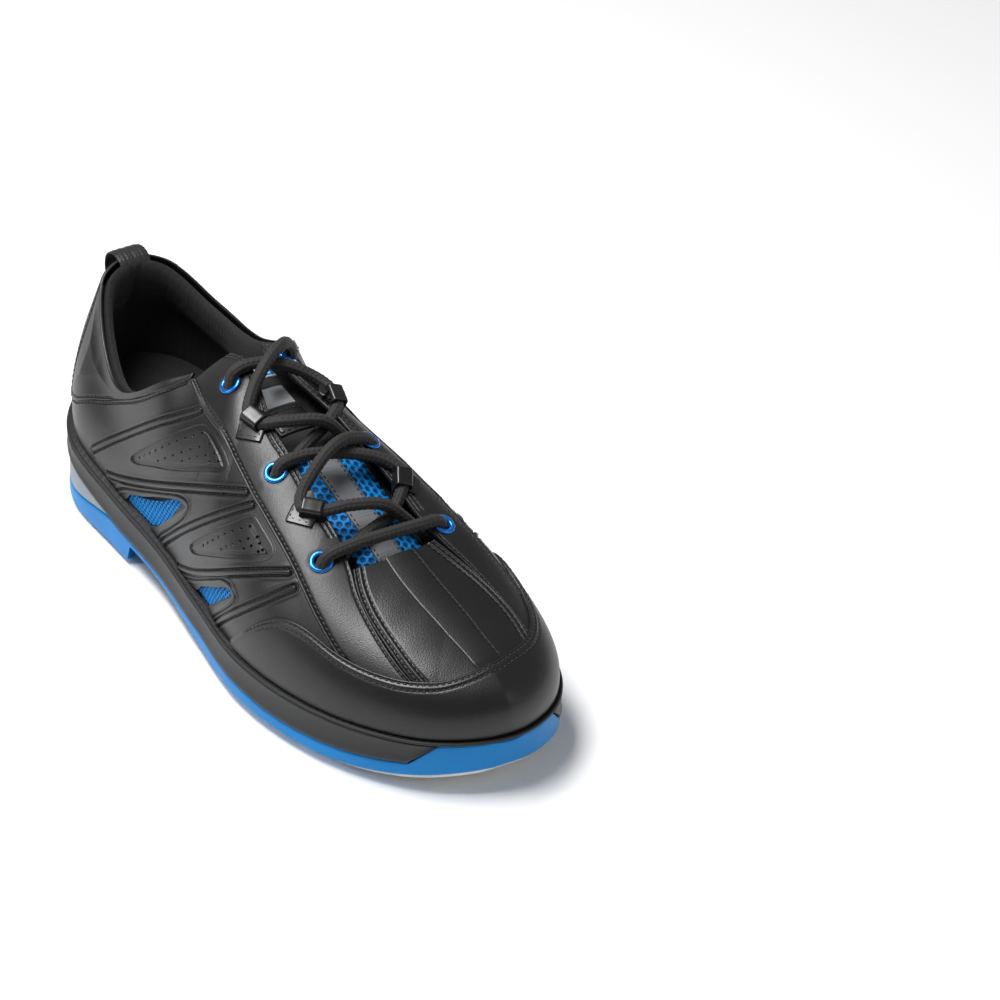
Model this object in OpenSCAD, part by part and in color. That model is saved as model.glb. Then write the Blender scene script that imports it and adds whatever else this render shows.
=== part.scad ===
// Bowling shoe, right foot, low cut, lace-up, with a smooth sliding pad under the ball of the foot.
// Millimetres. +X points to the toe, +Y to the inner side of the foot, +Z up, floor at z = 0.

/* [Overall size] */
// Length of the sole from heel to toe, mm
shoe_length = 302; // [270:1:330]
// Width of the sole across the ball of the foot, mm
ball_width = 112; // [98:1:124]
// Height of the heel collar above the floor, mm
collar_height = 99; // [92:1:112]

/* [Upper] */
// Thickness of the leather panels, mm
leather = 1.3; // [1:0.1:1.6]
// Thickness of the textile lining, mm
lining = 2; // [1.4:0.1:2.2]
// Extra thickness of the foam pad around the ankle, mm
ankle_pad = 3.4; // [2:0.1:4]
// Thickness of the padded tongue, mm
tongue_thickness = 5; // [3:0.5:6]

/* [Lacing] */
// Diameter of the round lace, mm
lace_d = 4.8; // [4:0.1:5]
// Outer radius of an eyelet flange, mm
eyelet_r = 4.9; // [4.5:0.1:5.5]

/* [Sole] */
// Thickness of the sliding pad, mm
pad_thickness = 3; // [2:0.2:3]
// Depth of the grooves across the sliding pad, mm
groove_depth = 0.9; // [0.4:0.1:1.4]

/* [Hidden] */
design_length = 302;
design_width = 112;
design_height = 99;
sole_top = 36;
mid_x = 150.25;
mid_y = 2;
gap = 0.2;
eps = 0.002;
// Plan of the sole edge: heel end, outer side forward to the toe, inner side back
rim_keys = [[0, 0], [12, -26], [37, -41.5], [75, -43.5], [115, -44], [155, -49], [195, -54], [230, -50],
    [262, -38], [288, -18], [300.5, 10], [292, 36], [269, 53], [235, 58], [200, 53], [160, 42], [120, 37],
    [80, 38.5], [37, 38.5], [12, 26]];
// Heights and shape of the walls at eleven stations, heel end to toe
ridge_z = [36, 34, 30.5, 26, 23, 22, 22, 22, 22.5, 23.5, 24.5];
feather_rise = [5, 4, 3.5, 3, 2.5, 2, 2, 2, 2, 2, 2];
feather_inset = [5, 4, 4.5, 4.5, 4.5, 4.5, 4.5, 4.5, 4.5, 4.5, 4.5];
band_low = [25.5, 25, 21.5, 14.5, 11.5, 10.5, 10, 9.5, 11, 15, 19];
wedge_low = [6, 6, 8.5, 14.3];
top_outer = [[14, 2, 99], [21, -14, 94], [42, -25, 77], [68, -31, 71], [99, -26.5, 92], [114, 1, 105],
    [150, 2.5, 97], [187, 4, 83], [222, 6, 67], [255, 8, 56], [277, 9.5, 49]];
top_inner = [[14, 2, 99], [22, 17, 93], [42, 28, 80], [68, 32, 77], [101, 28, 94], [114, 1, 105],
    [150, 2.5, 97], [187, 4, 83], [222, 6, 67], [255, 8, 56], [277, 9.5, 49]];
low_handle = [26, 26, 24, 22, 30, 44, 42, 36, 26, 19, 16];
high_handle = [20, 20, 18, 18, 24, 34, 32, 32, 28, 21, 16];
wall_lean = [-2, 2, 4, 4, 4, 4, 5, 6, 8, 10, 14];
top_drop = [70, 72, 78, 80, 50, 4, 0, 0, 0, 0, 0];
// Panel edges as [station, height on the wall]; negative stations run along the inner side
throat = [[0.48, 0.96], [0.53, 0.89], [0.58, 0.82], [0.62, 0.8], [0.66, 0.78], [0.71, 0.76], [0.76, 0.64],
    [0.81, 0.53], [0.875, 0.36]];
stay_seam = [[0.445, 0.9], [0.48, 0.7], [0.53, 0.63], [0.58, 0.56], [0.625, 0.52], [0.67, 0.48],
    [0.74, 0.37], [0.79, 0.29], [0.86, 0.29]];
quarter_low = [[0.005, 0], [0.1, 0], [0.2, 0], [0.27, 0], [0.33, 0], [0.47, 0.29], [0.39, 0], [0.48, 0],
    [0.58, 0.18], [0.53, 0], [0.6, 0]];
quarter_high = [[0.005, 0.12], [0.1, 0.14], [0.2, 0.33], [0.28, 0.82], [0.42, 0.88], [0.49, 0.66],
    [0.56, 0.56], [0.6, 0.52], [0.64, 0.48], [0.66, 0.465], [0.755, 0.31]];
collar_low = [[0.2, 0.36], [0.25, 0.68], [0.31, 0.89], [0.37, 0.9], [0.43, 0.91]];
collar_high = [[0.12, 0.985], [0.2, 0.985], [0.3, 0.985], [0.36, 0.985], [0.42, 0.985]];
stay_low = [[-0.19, 0.33], [-0.1, 0.16], [0, 0.14], [0.1, 0.16], [0.19, 0.33]];
stay_high = [[-0.11, 0.985], [-0.05, 0.985], [0, 0.985], [0.05, 0.985], [0.11, 0.985]];
bumper_high = [[0.59, 0.03], [0.64, 0.18], [0.68, 0.28], [0.72, 0.32], [0.77, 0.32], [0.82, 0.34],
    [0.86, 0.38], [0.9, 0.46], [0.93, 0.56], [0.96, 0.69], [0.98, 0.79], [1, 0.88], [1.02, 0.79],
    [1.04, 0.72], [1.07, 0.63], [1.1, 0.54], [1.14, 0.44], [1.18, 0.38], [1.23, 0.34], [1.28, 0.32],
    [1.32, 0.28], [1.36, 0.18], [1.41, 0.03]];
vamp_outer_low = [[0.735, 0.76], [0.765, 0.66], [0.795, 0.59], [0.82, 0.53], [0.885, 0.36]];
vamp_outer_high = [[0.785, 0.92], [0.83, 0.93], [0.87, 0.94], [0.92, 0.89], [0.99, 0.7]];
vamp_inner_low = [[0.735, 0.76], [0.765, 0.67], [0.795, 0.6], [0.83, 0.54], [0.885, 0.38]];
vamp_inner_high = [[0.8, 0.89], [0.82, 0.87], [0.85, 0.83], [0.885, 0.77], [0.945, 0.56]];
mesh_rear = [[[0.31, 0.01], [0.42, 0.01]], [[0.455, 0.34], [0.5, 0.34]]];
mesh_front = [[[0.46, 0.01], [0.55, 0.01]], [[0.565, 0.22], [0.6, 0.22]]];
eyelet_at = [[0.5, 0.79], [0.61, 0.69], [0.71, 0.6], [-0.48, 0.85], [-0.61, 0.72], [-0.715, 0.63]];
eyelet_hole_r = lace_d / 2 + 0.3;
eyelet_barrel_r = eyelet_hole_r + 0.5;
// Centre line of the tongue, top to base, and its half width
tongue_line = [[106, 0, 95.5], [128, 0.5, 94], [152, 1.5, 88.5], [176, 3, 80.5], [200, 4.5, 70.5],
    [222, 6, 59.8], [236, 7, 53.5]];
tongue_half = [14, 15.5, 17, 18, 17.5, 16, 14];
tongue_round = 45;
// Heel treads: two round lobes centred on the sides of the heel
lobe_x = 43;
lobe_y = [-42, 38];
lobe_r = 50;
tread_r = [18, 31];
tread_h = 1.4;
plate_rows = [0.006, 0.03, 0.06, 0.1, 0.15, 0.2, 0.25];
pad_grooves = [0.611, 0.643, 0.672, 0.7];
// Route of the lace from one end to the other
lace_path = [[80, -22, 46], [94, -25, 54], [107, -27, 65], [117, -25.5, 77], [123, -21, 86.5],
    [127, -18, 93.2], [128, -16, 99], [127, -13.5, 105], [128, -5, 107.2], [132, 7, 105.2],
    [139, 16.5, 100.5], [147, 20.5, 97], [154, 19, 94.5], [161, 10, 92.5], [166, -3, 88.5],
    [170, -13, 84], [173, -19, 80], [174, -20.5, 85], [174, -18, 90], [176, -7, 91.5], [180, 8, 89.5],
    [186, 20, 86.3], [193, 25.5, 82.3], [199, 22, 79], [205, 13, 73], [209, -1, 70.5], [212, -14, 65.5],
    [215, -22, 62.5], [216, -25, 67], [216, -22, 71.8], [217, -10, 74], [218, 4, 74.5], [218, 18, 73.8],
    [217, 27, 72.3], [216, 30, 67], [214, 27, 63], [211, 19.5, 69.5], [207, 9, 80], [203, -4, 82],
    [199, -15, 80.5], [194, -20.8, 81.2], [188, -17, 84.8], [183, -5, 93.4], [179, 6, 95.6],
    [176, 17, 91.5], [174, 23.5, 85], [172, 23, 81.5], [168.5, 15, 87], [165, 6, 97], [159, -8, 98],
    [153, -16.5, 96.3], [147, -18.2, 97.8], [140, -12, 103.5], [134, -2, 110.5], [127, 9, 111.5],
    [120, 16, 105.5], [118, 18.5, 98.5], [117.5, 18.8, 92.5], [116, 20.5, 86], [111, 24.5, 76],
    [103, 26, 64], [92, 25.5, 54], [79, 23, 46]];
lace_sides = 8;
aglet_length = 18;
// Side loops: point of the route where each starts, then the spot of the wall it lies on
loop_at = [[11, -0.545, 0.81], [22, -0.665, 0.77], [39, 0.665, 0.76], [50, 0.555, 0.8]];
tab_line = [[7, 80], [4.5, 88], [6, 95.5], [10.5, 100.8], [15.5, 101.6], [18.6, 97.5], [18, 90]];

black_leather = [0.05, 0.05, 0.055];
black_rubber = [0.04, 0.04, 0.045];
black_cloth = [0.07, 0.07, 0.075];
blue_rubber = [0.02, 0.2, 0.62];
blue_mesh = [0.03, 0.25, 0.75];
blue_metal = [0.05, 0.35, 0.85];
grey_foam = [0.6, 0.64, 0.68];
pad_white = [0.86, 0.87, 0.86];
board_tan = [0.72, 0.6, 0.42];
steel = [0.6, 0.62, 0.64];

// ---------- curves ----------
function cubic(a, b, c, d, f) =
    0.5 * (2 * b + (c - a) * f + (2 * a - 5 * b + 4 * c - d) * f * f + (3 * b - a - 3 * c + d) * f * f * f);

// Smooth curve through the keys, s counting them from 0
function through(k, s) =
    let (n = len(k), i = min(n - 2, max(0, floor(s))))
    cubic(i > 0 ? k[i - 1] : 2 * k[0] - k[1], k[i], k[i + 1],
        i < n - 2 ? k[i + 2] : 2 * k[n - 1] - k[n - 2], s - i);

// Straight lines through the keys
function along(k, s) =
    let (i = min(len(k) - 2, max(0, floor(s))))
    k[i] + (k[i + 1] - k[i]) * (s - i);

function unit(p) = p / max(norm(p), 1e-9);

// Height above the floor, stretched above the sole for the collar height asked for
function raised(z) = z < sole_top ? z :
    sole_top + (z - sole_top) * (collar_height - sole_top) / (design_height - sole_top);

// Any point of the shoe, from the design frame to its own size and centred frame
function place(p) = [
    (p[0] - mid_x) * shoe_length / design_length,
    (p[1] - mid_y) * ball_width / design_width,
    raised(p[2])];

// ---------- sole edge ----------
// station 0 is the heel end and 1 the toe on the outer side; below 0 and above 1 is the inner side
function stage(a) = a < 0 ? -a : a > 1 ? 2 - a : a;

function rim(a) =
    let (n = len(rim_keys), s = (a < 0 ? a + 2 : a) * n / 2, i = floor(s))
    cubic(rim_keys[(i + n - 1) % n], rim_keys[i % n], rim_keys[(i + 1) % n], rim_keys[(i + 2) % n], s - i);

function rim_out(a) =
    let (d = rim(a + eps) - rim(a - eps))
    unit([d[1], -d[0]]);

function rim_point(a, inset, z) =
    let (p = rim(a) - rim_out(a) * inset)
    [p[0], p[1], z];

function at_stage(k, a) = through(k, stage(a) * 10);

function feather_z(a) = at_stage(ridge_z, a) + at_stage(feather_rise, a);

// Point across the sole: c = 0 on the outer edge, 1 on the inner edge
function across(t, c, inset, z) =
    rim_point(t, inset, z) * (1 - c) + rim_point(-t, inset, z) * c;

// Lift of the toe above the floor
function spring(x) = x < 240 ? 0 : 10.5 * pow((x - 240) / 63, 2);

function sprung(p) = [p[0], p[1], p[2] + spring(p[0])];

// ---------- walls of the upper ----------
function top_keys(a) = a < 0 || a > 1 ? top_inner : top_outer;

function wall_top(a) = through(top_keys(a), stage(a) * 10);

function wall_side(a, foot, top) =
    let (t = stage(a), drop = at_stage(top_drop, a), h = unit([foot[0] - top[0], foot[1] - top[1]]),
         e = wall_top(min(t + eps, 1)) - wall_top(max(t - eps, 0.5)),
         rise = t > 0.5 ? e[2] / max(e[0], 1e-6) * h[0] : 0)
    unit([h[0] * cos(drop), h[1] * cos(drop), cos(drop) * rise - sin(drop)]);

function wall(a, v) =
    let (out = rim_out(a),
         foot = rim_point(a, at_stage(feather_inset, a), feather_z(a)),
         top = wall_top(a),
         lean = at_stage(wall_lean, a),
         reach = at_stage(low_handle, a),
         low = foot + reach * [out[0] * sin(lean), out[1] * sin(lean), cos(lean)],
         high = top + at_stage(high_handle, a) * wall_side(a, foot, top),
         w = 1 - v)
    w * w * w * foot + 3 * w * w * v * low + 3 * w * v * v * high + v * v * v * top;

// Outward normal of the wall
function wall_out(a, v) =
    let (vv = min(v, 0.985), e = 0.004)
    unit(cross(wall(a + e, vv) - wall(a - e, vv), wall(a, vv + e) - wall(a, vv - e)));

function on_wall(a, v, lift) = wall(a, v) + lift * wall_out(a, v);

// ---------- solids from two grids ----------
// outer and inner are rows of points; turned = true when the rows run the other way round the shoe
module skin(outer, inner, turned = false, closed = false) {
    r = len(outer);
    c = len(outer[0]);
    base = r * c;
    last_row = closed ? r : r - 1;
    points = [for (row = outer) for (p = row) place(p), for (row = inner) for (p = row) place(p)];
    quads = concat(
        [for (i = [0:last_row - 1]) for (j = [0:c - 2]) let (k = (i + 1) % r)
            [i * c + j, i * c + j + 1, k * c + j + 1, k * c + j]],
        [for (i = [0:last_row - 1]) for (j = [0:c - 2]) let (k = (i + 1) % r)
            [base + i * c + j, base + k * c + j, base + k * c + j + 1, base + i * c + j + 1]],
        [for (i = [0:last_row - 1]) let (k = (i + 1) % r)
            [i * c, k * c, base + k * c, base + i * c]],
        [for (i = [0:last_row - 1]) let (k = (i + 1) % r)
            [i * c + c - 1, base + i * c + c - 1, base + k * c + c - 1, k * c + c - 1]],
        closed ? [] : [for (j = [0:c - 2]) [j, base + j, base + j + 1, j + 1]],
        closed ? [] : [for (j = [0:c - 2]) let (q = (r - 1) * c + j) [q, q + 1, base + q + 1, base + q]]);
    faces = [for (q = quads) each turned ?
        [[q[2], q[1], q[0]], [q[3], q[2], q[0]]] : [[q[0], q[1], q[2]], [q[0], q[2], q[3]]]];
    polyhedron(points, faces);
}

// Panel of the upper between two edges, from lift lo to lift hi off the wall
module panel(low, high, fine, rows, lo, hi, turned = false) {
    n = (len(low) - 1) * fine;
    function spot(i, j) = along(low, i / fine) * (1 - j / rows) + along(high, i / fine) * j / rows;
    function grid(lift) = [for (i = [0:n]) [for (j = [0:rows])
        let (s = spot(i, j)) on_wall(s[0], s[1], lift)]];
    skin(grid(hi), grid(lo), turned);
}

function other_side(k) = [for (p = k) [-p[0], p[1]]];

module panel_pair(low, high, fine, rows, lo, hi, inner) {
    if (inner) panel(other_side(low), other_side(high), fine, rows, lo, hi, true);
    else panel(low, high, fine, rows, lo, hi);
}

// ---------- sole ----------
function plate_top(t) = t < 0.3 ? through(wedge_low, t * 10) - gap : at_stage(band_low, t) - gap;

function breast(c) = 0.29 + 0.045 * pow(2 * c - 1, 2);

function plate_bottom(t, c) =
    t <= breast(c) ? tread_h :
    t < 0.56 ? pad_thickness + gap + 6.2 * (cos((t - 0.31) * 180 / 0.25) + 1) / 2 :
    pad_thickness + gap;

module outsole() {
    cols = 12;
    steps = [for (t = plate_rows) t, 0.28, 0.285, 0.36, 0.4, 0.44, 0.48, 0.52, 0.56, 0.6, 0.65, 0.7, 0.75,
        0.8, 0.84, 0.88, 0.9, 0.92, 0.95, 0.98, 0.994];
    function row_t(i, c) = i == 7 ? breast(c) : i == 8 ? breast(c) + 0.006 : steps[i];
    function chamfer(j) = j == 0 || j == cols ? 2.3 : j == 1 || j == cols - 1 ? 0.8 : 0;
    function share(j) = j == 0 ? 0 : j == cols ? 1 : j == 1 ? 0.015 : j == cols - 1 ? 0.985 :
        (j - 1) / (cols - 2);
    function at_edge(j) = j == 0 || j == cols ? 1 : 0;
    function toe_rim(t, j) = t < 0.87 ? 0 : t > 0.985 ? 1 : min(1, (t - 0.87) / 0.03) * at_edge(j);
    top = [for (i = [0:len(steps) - 1]) [for (j = [0:cols]) let (c = share(j), t = row_t(i, c),
        low = plate_top(t), rim_top = at_stage(ridge_z, t) - 2)
        across(t, c, 0.6, low + (rim_top - low) * toe_rim(t, j))]];
    bottom = [for (i = [0:len(steps) - 1]) [for (j = [0:cols])
        let (c = share(j), t = row_t(i, c))
        sprung(across(t, c, 0.6, plate_bottom(t, c) + chamfer(j)))]];
    color(blue_rubber) skin(top, bottom);
    color(blue_rubber) heel_layer(gap / 2) difference() {
        heel_plan();
        for (y = lobe_y) translate([lobe_x, y]) difference() {
            circle(tread_r[1], $fn = 64);
            circle(tread_r[0], $fn = 64);
        }
    }
}

// Flat layer under the heel, lifted from the floor by low
module heel_layer(low) {
    origin = place([0, 0, 0]);
    translate([origin[0], origin[1], low])
        scale([shoe_length / design_length, ball_width / design_width, 1])
            linear_extrude(tread_h - low - gap / 4) children();
}

module heel_plan() {
    intersection() {
        polygon([for (i = [0:30]) let (a = -0.36 + 0.72 * i / 30, p = rim_point(a, 3, 0)) [p[0], p[1]]]);
        union() {
            translate([0, -60]) square([lobe_x, 120]);
            for (y = lobe_y) translate([lobe_x, y]) circle(lobe_r - 4, $fn = 72);
        }
    }
}

module heel_treads() {
    color(black_rubber) heel_layer(0) intersection() {
        heel_plan();
        for (y = lobe_y) translate([lobe_x, y]) difference() {
            circle(tread_r[1] - 0.4, $fn = 64);
            circle(tread_r[0] + 0.4, $fn = 64);
        }
    }
}

module slide_pad() {
    cols = 8;
    lead = 3;
    cuts = [for (g = pad_grooves) each [g - 0.0055, g - 0.0045, g + 0.0045, g + 0.0055]];
    rest = [0.735, 0.77, 0.8, 0.83, 0.86, 0.89, 0.92, 0.945, 0.965];
    steps = [for (k = cuts) k, for (k = rest) k];
    function back(c) = 0.462 + 0.09 * pow(abs(2 * c - 1), 1.6) - 0.02 * c;
    function row_t(i, c) = i < lead ? back(c) * (1 - i / lead) + cuts[0] * i / lead : steps[i - lead];
    function cut(i) = i >= lead && i - lead < len(cuts) && ((i - lead) % 4 == 1 || (i - lead) % 4 == 2);
    function height(t) = t < 0.56 ? plate_bottom(t, 0.5) - pad_thickness - gap : 0;
    function sheet(z, deep) = [for (i = [0:lead + len(steps) - 1]) [for (j = [0:cols])
        let (c = j / cols, t = row_t(i, c))
        sprung(across(t, c, 4.6, z + height(t) + (deep && cut(i) ? groove_depth : 0)))]];
    color(pad_white) skin(sheet(pad_thickness, false), sheet(0, true));
}

module arch_panel(from, to) {
    cols = 4;
    rows = 10;
    function fore(c) = 0.452 + 0.09 * pow(abs(2 * c - 1), 1.6) - 0.02 * c;
    function sheet(z) = [for (i = [0:rows]) [for (j = [0:cols])
        let (c = from + (to - from) * j / cols, t = 0.355 + (fore(c) - 0.355) * i / rows)
        across(t, c, 2.6, plate_bottom(t, c) + z)]];
    color(black_rubber) skin(sheet(-0.1), sheet(-1.5));
}

module heel_wedge() {
    cols = 8;
    steps = [0.006, 0.03, 0.06, 0.1, 0.14, 0.18, 0.22, 0.26, 0.29];
    top = [for (t = steps) [for (j = [0:cols]) across(t, j / cols, 0.9, at_stage(band_low, t) - gap)]];
    bottom = [for (t = steps) [for (j = [0:cols]) across(t, j / cols, 0.9, through(wedge_low, t * 10))]];
    color(grey_foam) skin(top, bottom);
}

module foxing_band() {
    n = 88;
    reach = 0.87;
    function ring(i, inset) = let (s = -1 + 2 * i / n)
        [for (j = [0:2])
            let (a = s * (reach + 0.01 * j), low = at_stage(band_low, a), high = at_stage(ridge_z, a))
            rim_point(a, inset + (j == 1 ? 0.5 : 0), low + (high - low - gap / 2) * j / 2)];
    color(black_rubber) skin([for (i = [0:n]) ring(i, 0)], [for (i = [0:n]) ring(i, 5)]);
}

module midsole() {
    cols = 8;
    steps = [0.01, 0.04, 0.08, 0.13, 0.18, 0.23, 0.27, 0.3, 0.35, 0.4, 0.45, 0.5, 0.55, 0.58, 0.6, 0.65,
        0.7, 0.75, 0.8, 0.85, 0.89, 0.93, 0.965, 0.985];
    function recess(t, j) = t > 0.26 && t < 0.59 && abs(j - cols / 2) < 2 ? 2.2 : 0;
    function top_z(t, j) = j == 0 || j == cols ? at_stage(ridge_z, t) - 0.9 :
        min(feather_z(t) - 3.9, at_stage(ridge_z, t) + 0.2) - recess(t, j);
    top = [for (t = steps) [for (j = [0:cols]) across(t, j / cols, 5.8, top_z(t, j))]];
    bottom = [for (t = steps) [for (j = [0:cols]) across(t, j / cols, 5.8, at_stage(band_low, t) + gap)]];
    color(black_cloth) skin(top, bottom);
}

module welt() {
    n = 76;
    shape = [[0, 0.1], [0.2, 0.7], [1.2, 1.3], [4.2, 0], [9, 0]];
    function ring(i) = let (a = 2 * i / n, r = at_stage(ridge_z, a), f = feather_z(a) - 0.3)
        [for (j = [4:-1:0]) rim_point(a, shape[j][0], j > 2 ? f : r + shape[j][1])];
    function under(i) = let (a = 2 * i / n, r = at_stage(ridge_z, a))
        [for (j = [4:-1:0]) rim_point(a, shape[j][0], r + (j > 0 ? 0 : -0.05))];
    color(black_rubber) skin([for (i = [0:n - 1]) ring(i)], [for (i = [0:n - 1]) under(i)], true, true);
}

module shank() {
    n = 10;
    function sheet(z) = [for (i = [0:n]) [for (j = [0:2]) let (t = 0.29 + 0.27 * i / n)
        across(t, 0.5 + 0.085 * (j - 1), 0, feather_z(t) - z)]];
    color(steel) skin(sheet(3.8), sheet(5));
}

module foot_slab(inset, low, high, cup, paint) {
    cols = 8;
    steps = [0.008, 0.03, 0.06, 0.1, 0.15, 0.2, 0.26, 0.32, 0.38, 0.44, 0.5, 0.56, 0.62, 0.68, 0.74, 0.8,
        0.85, 0.89, 0.925, 0.955, 0.98, 0.992];
    function sheet(z, lift) = [for (t = steps) [for (j = [0:cols]) let (c = j / cols)
        across(t, c, inset, feather_z(t) + z + lift * pow(abs(2 * c - 1), 3) * max(0, 1 - t * 1.6))]];
    color(paint) skin(sheet(high, cup), sheet(low, 0));
}

module insole_board() {
    foot_slab(9.6, -3.3, -0.4, 0, board_tan);
}

module insole() {
    foot_slab(9.4, 0.1, 3.6, 4, black_cloth);
}

// ---------- upper ----------
module heel_counter() {
    color(board_tan) panel([[-0.26, 0.02], [-0.13, 0.02], [0, 0.02], [0.13, 0.02], [0.26, 0.02]],
        [[-0.2, 0.42], [-0.1, 0.5], [0, 0.52], [0.1, 0.5], [0.2, 0.42]], 4, 5, -0.7, -0.1);
}

module toe_puff() {
    color(board_tan) panel([[0.74, 0.02], [0.82, 0.02], [0.9, 0.02], [1, 0.02], [1.1, 0.02], [1.18, 0.02],
        [1.26, 0.02]], [[0.78, 0.26], [0.84, 0.36], [0.91, 0.48], [1, 0.72], [1.09, 0.48], [1.16, 0.36],
        [1.22, 0.26]], 3, 4, -0.7, -0.1);
}

module toe_bumper() {
    color(black_leather) panel([for (p = bumper_high) [p[0], 0]], bumper_high, 2, 6, 2 * gap + leather,
        2 * gap + 2 * leather);
}

module vamp_outer() {
    color(black_leather) panel(vamp_outer_low, vamp_outer_high, 4, 6, gap, gap + leather);
}

module vamp_inner() {
    color(black_leather) panel_pair(vamp_inner_low, vamp_inner_high, 4, 6, gap, gap + leather, true);
}

module vamp_strip() {
    n = 16;
    keys = len(vamp_outer_high) - 1;
    function row(i, lift) = let (s = i / n * keys, l = along(vamp_outer_high, s),
        r = along(vamp_inner_high, s), a = on_wall(l[0], l[1] + 0.012, gap + 0.1),
        b = on_wall(-r[0], r[1] + 0.012, gap + 0.1))
        [for (j = [0:4]) let (c = j / 4) a * (1 - c) + b * c + [0, 0, lift + 2.4 * c * (1 - c)]];
    color(black_leather) skin([for (i = [0:n]) row(i, leather)], [for (i = [0:n]) row(i, 0)]);
}

module eyestay(inner) {
    color(black_leather) difference() {
        panel_pair(stay_seam, throat, 3, 5, gap, gap + leather, inner);
        for (e = eyelet_at) if ((e[0] < 0) == inner) standing(e, 0)
            cylinder(r = eyelet_barrel_r + 0.1, h = 12, center = true, $fn = 24);
    }
}

module quarter(inner) {
    color(black_leather) panel_pair(quarter_low, quarter_high, 3, 7, gap, gap + leather, inner);
}

module mesh_window(shape, inner) {
    color(blue_mesh) panel_pair(shape[0], shape[1], 6, 5, -0.8, -0.1, inner);
}

module collar(inner) {
    color(black_leather) panel_pair(collar_low, collar_high, 4, 5, gap, gap + leather, inner);
}

module back_stay() {
    color(black_leather) panel(stay_low, stay_high, 4, 8, gap, gap + leather);
}

// Stiff webbing loop standing off the back of the collar
module pull_tab() {
    n = 18;
    half = 7;
    keys = len(tab_line) - 1;
    function spot(i) = through(tab_line, i / n * keys);
    function slope(i) = let (s = i / n * keys)
        unit(through(tab_line, s + 0.02) - through(tab_line, s - 0.02));
    function row(i, lift) = let (p = spot(i), d = slope(i))
        [for (j = [0:2]) [p[0] - d[1] * lift, 2 + half * (j - 1), p[1] + d[0] * lift]];
    color(black_cloth) skin([for (i = [0:n]) row(i, 0.6)], [for (i = [0:n]) row(i, -0.6)]);
}

// How far the ankle pad bulges at one spot of the wall: 0 none, 1 full
function puff(a, v) =
    let (up = max(0, min(1, (v - 0.45) / 0.25)), down = max(0, min(1, (0.985 - v) / 0.12)),
         ends = max(0, min(1, (0.4 - stage(a)) / 0.1)))
    up * up * (3 - 2 * up) * sqrt(down) * ends;

function lining_top(a) = let (t = stage(a)) t < 0.4 ? 0.985 : 0.985 - (t - 0.4) * 3.2;

module collar_lining() {
    n = 44;
    rows = 10;
    function row(i, lift) = let (a = -0.5 + i / n, top = lining_top(a))
        [for (j = [0:rows]) let (v = 0.01 + (top - 0.01) * j / rows)
            on_wall(a, v, lift - ankle_pad * puff(a, v))];
    color(black_cloth) skin([for (i = [0:n]) row(i, -1)], [for (i = [0:n]) row(i, -1 - lining)]);
}

module collar_foam() {
    n = 30;
    rows = 5;
    skin_side = -0.1;
    function row(i, lift) = let (a = -0.37 + 0.74 * i / n)
        [for (j = [0:rows]) let (v = 0.56 + 0.36 * j / rows)
            on_wall(a, v, lift < skin_side ? lift - ankle_pad * puff(a, v) : lift)];
    color(grey_foam) skin([for (i = [0:n]) row(i, skin_side)], [for (i = [0:n]) row(i, -0.75)]);
}

module vamp_lining() {
    edge = [[0.508, 0.66], [0.58, 0.53], [0.66, 0.46], [0.72, 0.43], [0.76, 0.5], [0.8, 0.78], [0.83, 0.93],
        [0.9, 0.95], [1, 0.95]];
    both = [for (p = edge) p, for (i = [len(edge) - 2:-1:0]) [2 - edge[i][0], edge[i][1]]];
    color(black_cloth) panel([for (p = both) [p[0], 0.01]], both, 3, 7, -1 - lining, -1);
}

// ---------- tongue ----------
// Point of the tongue: s along it from the top, w across it, lift off its surface
function tongue_point(s, w, lift) =
    let (p = through(tongue_line, s),
         d = unit(through(tongue_line, s + 0.02) - through(tongue_line, s - 0.02)),
         turn = w / tongue_round * 180 / PI, up = unit([-d[2], 0, d[0]]), out = tongue_round + lift)
    p + [0, out * sin(turn), 0] + up * (out * cos(turn) - tongue_round);

module tongue_patch_at(from, to, left, right, low, high, fine, paint) {
    function sheet(lift) = [for (i = [0:fine]) [for (j = [0:4]) let (f = i / fine)
        tongue_point(from + (to - from) * f, left + (right - left) * j / 4, lift)]];
    color(paint) skin(sheet(high), sheet(low));
}

// Mesh beside the centre strip: side = -1 outer, 1 inner
module tongue_mesh(side) {
    near = 6;
    far = 13;
    tongue_patch_at(2.6, 5.2, side < 0 ? -far : near, side < 0 ? -near : far, 0.1, 0.8, 10, blue_mesh);
}

module tongue_pad() {
    n = 20;
    cols = 12;
    keys = len(tongue_line) - 1;
    function row(i, deep) = let (s = i / n * keys, half = through(tongue_half, s))
        [for (j = [0:cols]) let (c = 2 * j / cols - 1, edge = 1 - 0.75 * pow(abs(c), 4),
            tip = min(1, 0.45 + i / 3) * min(1, 0.45 + (n - i) / 3))
            tongue_point(s, c * half, deep ? -tongue_thickness * edge * tip : 0)];
    color(black_cloth) skin([for (i = [0:n]) row(i, false)], [for (i = [0:n]) row(i, true)]);
}

// ---------- lacing ----------
// Children stand on the wall at a spot, their z axis along the outward normal
module standing(at, lift) {
    n = wall_out(at[0], at[1]);
    translate(place(on_wall(at[0], at[1], lift))) rotate([0, acos(n[2]), atan2(n[1], n[0])]) children();
}

module eyelets() {
    rim_h = 0.9;
    end_z = -leather - gap - 0.6;
    color(blue_metal) for (e = eyelet_at) standing(e, gap + leather) rotate_extrude($fn = 32) polygon([
        [eyelet_hole_r, end_z], [eyelet_barrel_r, end_z], [eyelet_barrel_r, 0.05],
        [eyelet_r, 0.05], [eyelet_r, 0.35], [eyelet_r - 0.6, rim_h], [eyelet_hole_r + 0.6, rim_h],
        [eyelet_hole_r, 0.4]]);
}

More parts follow.
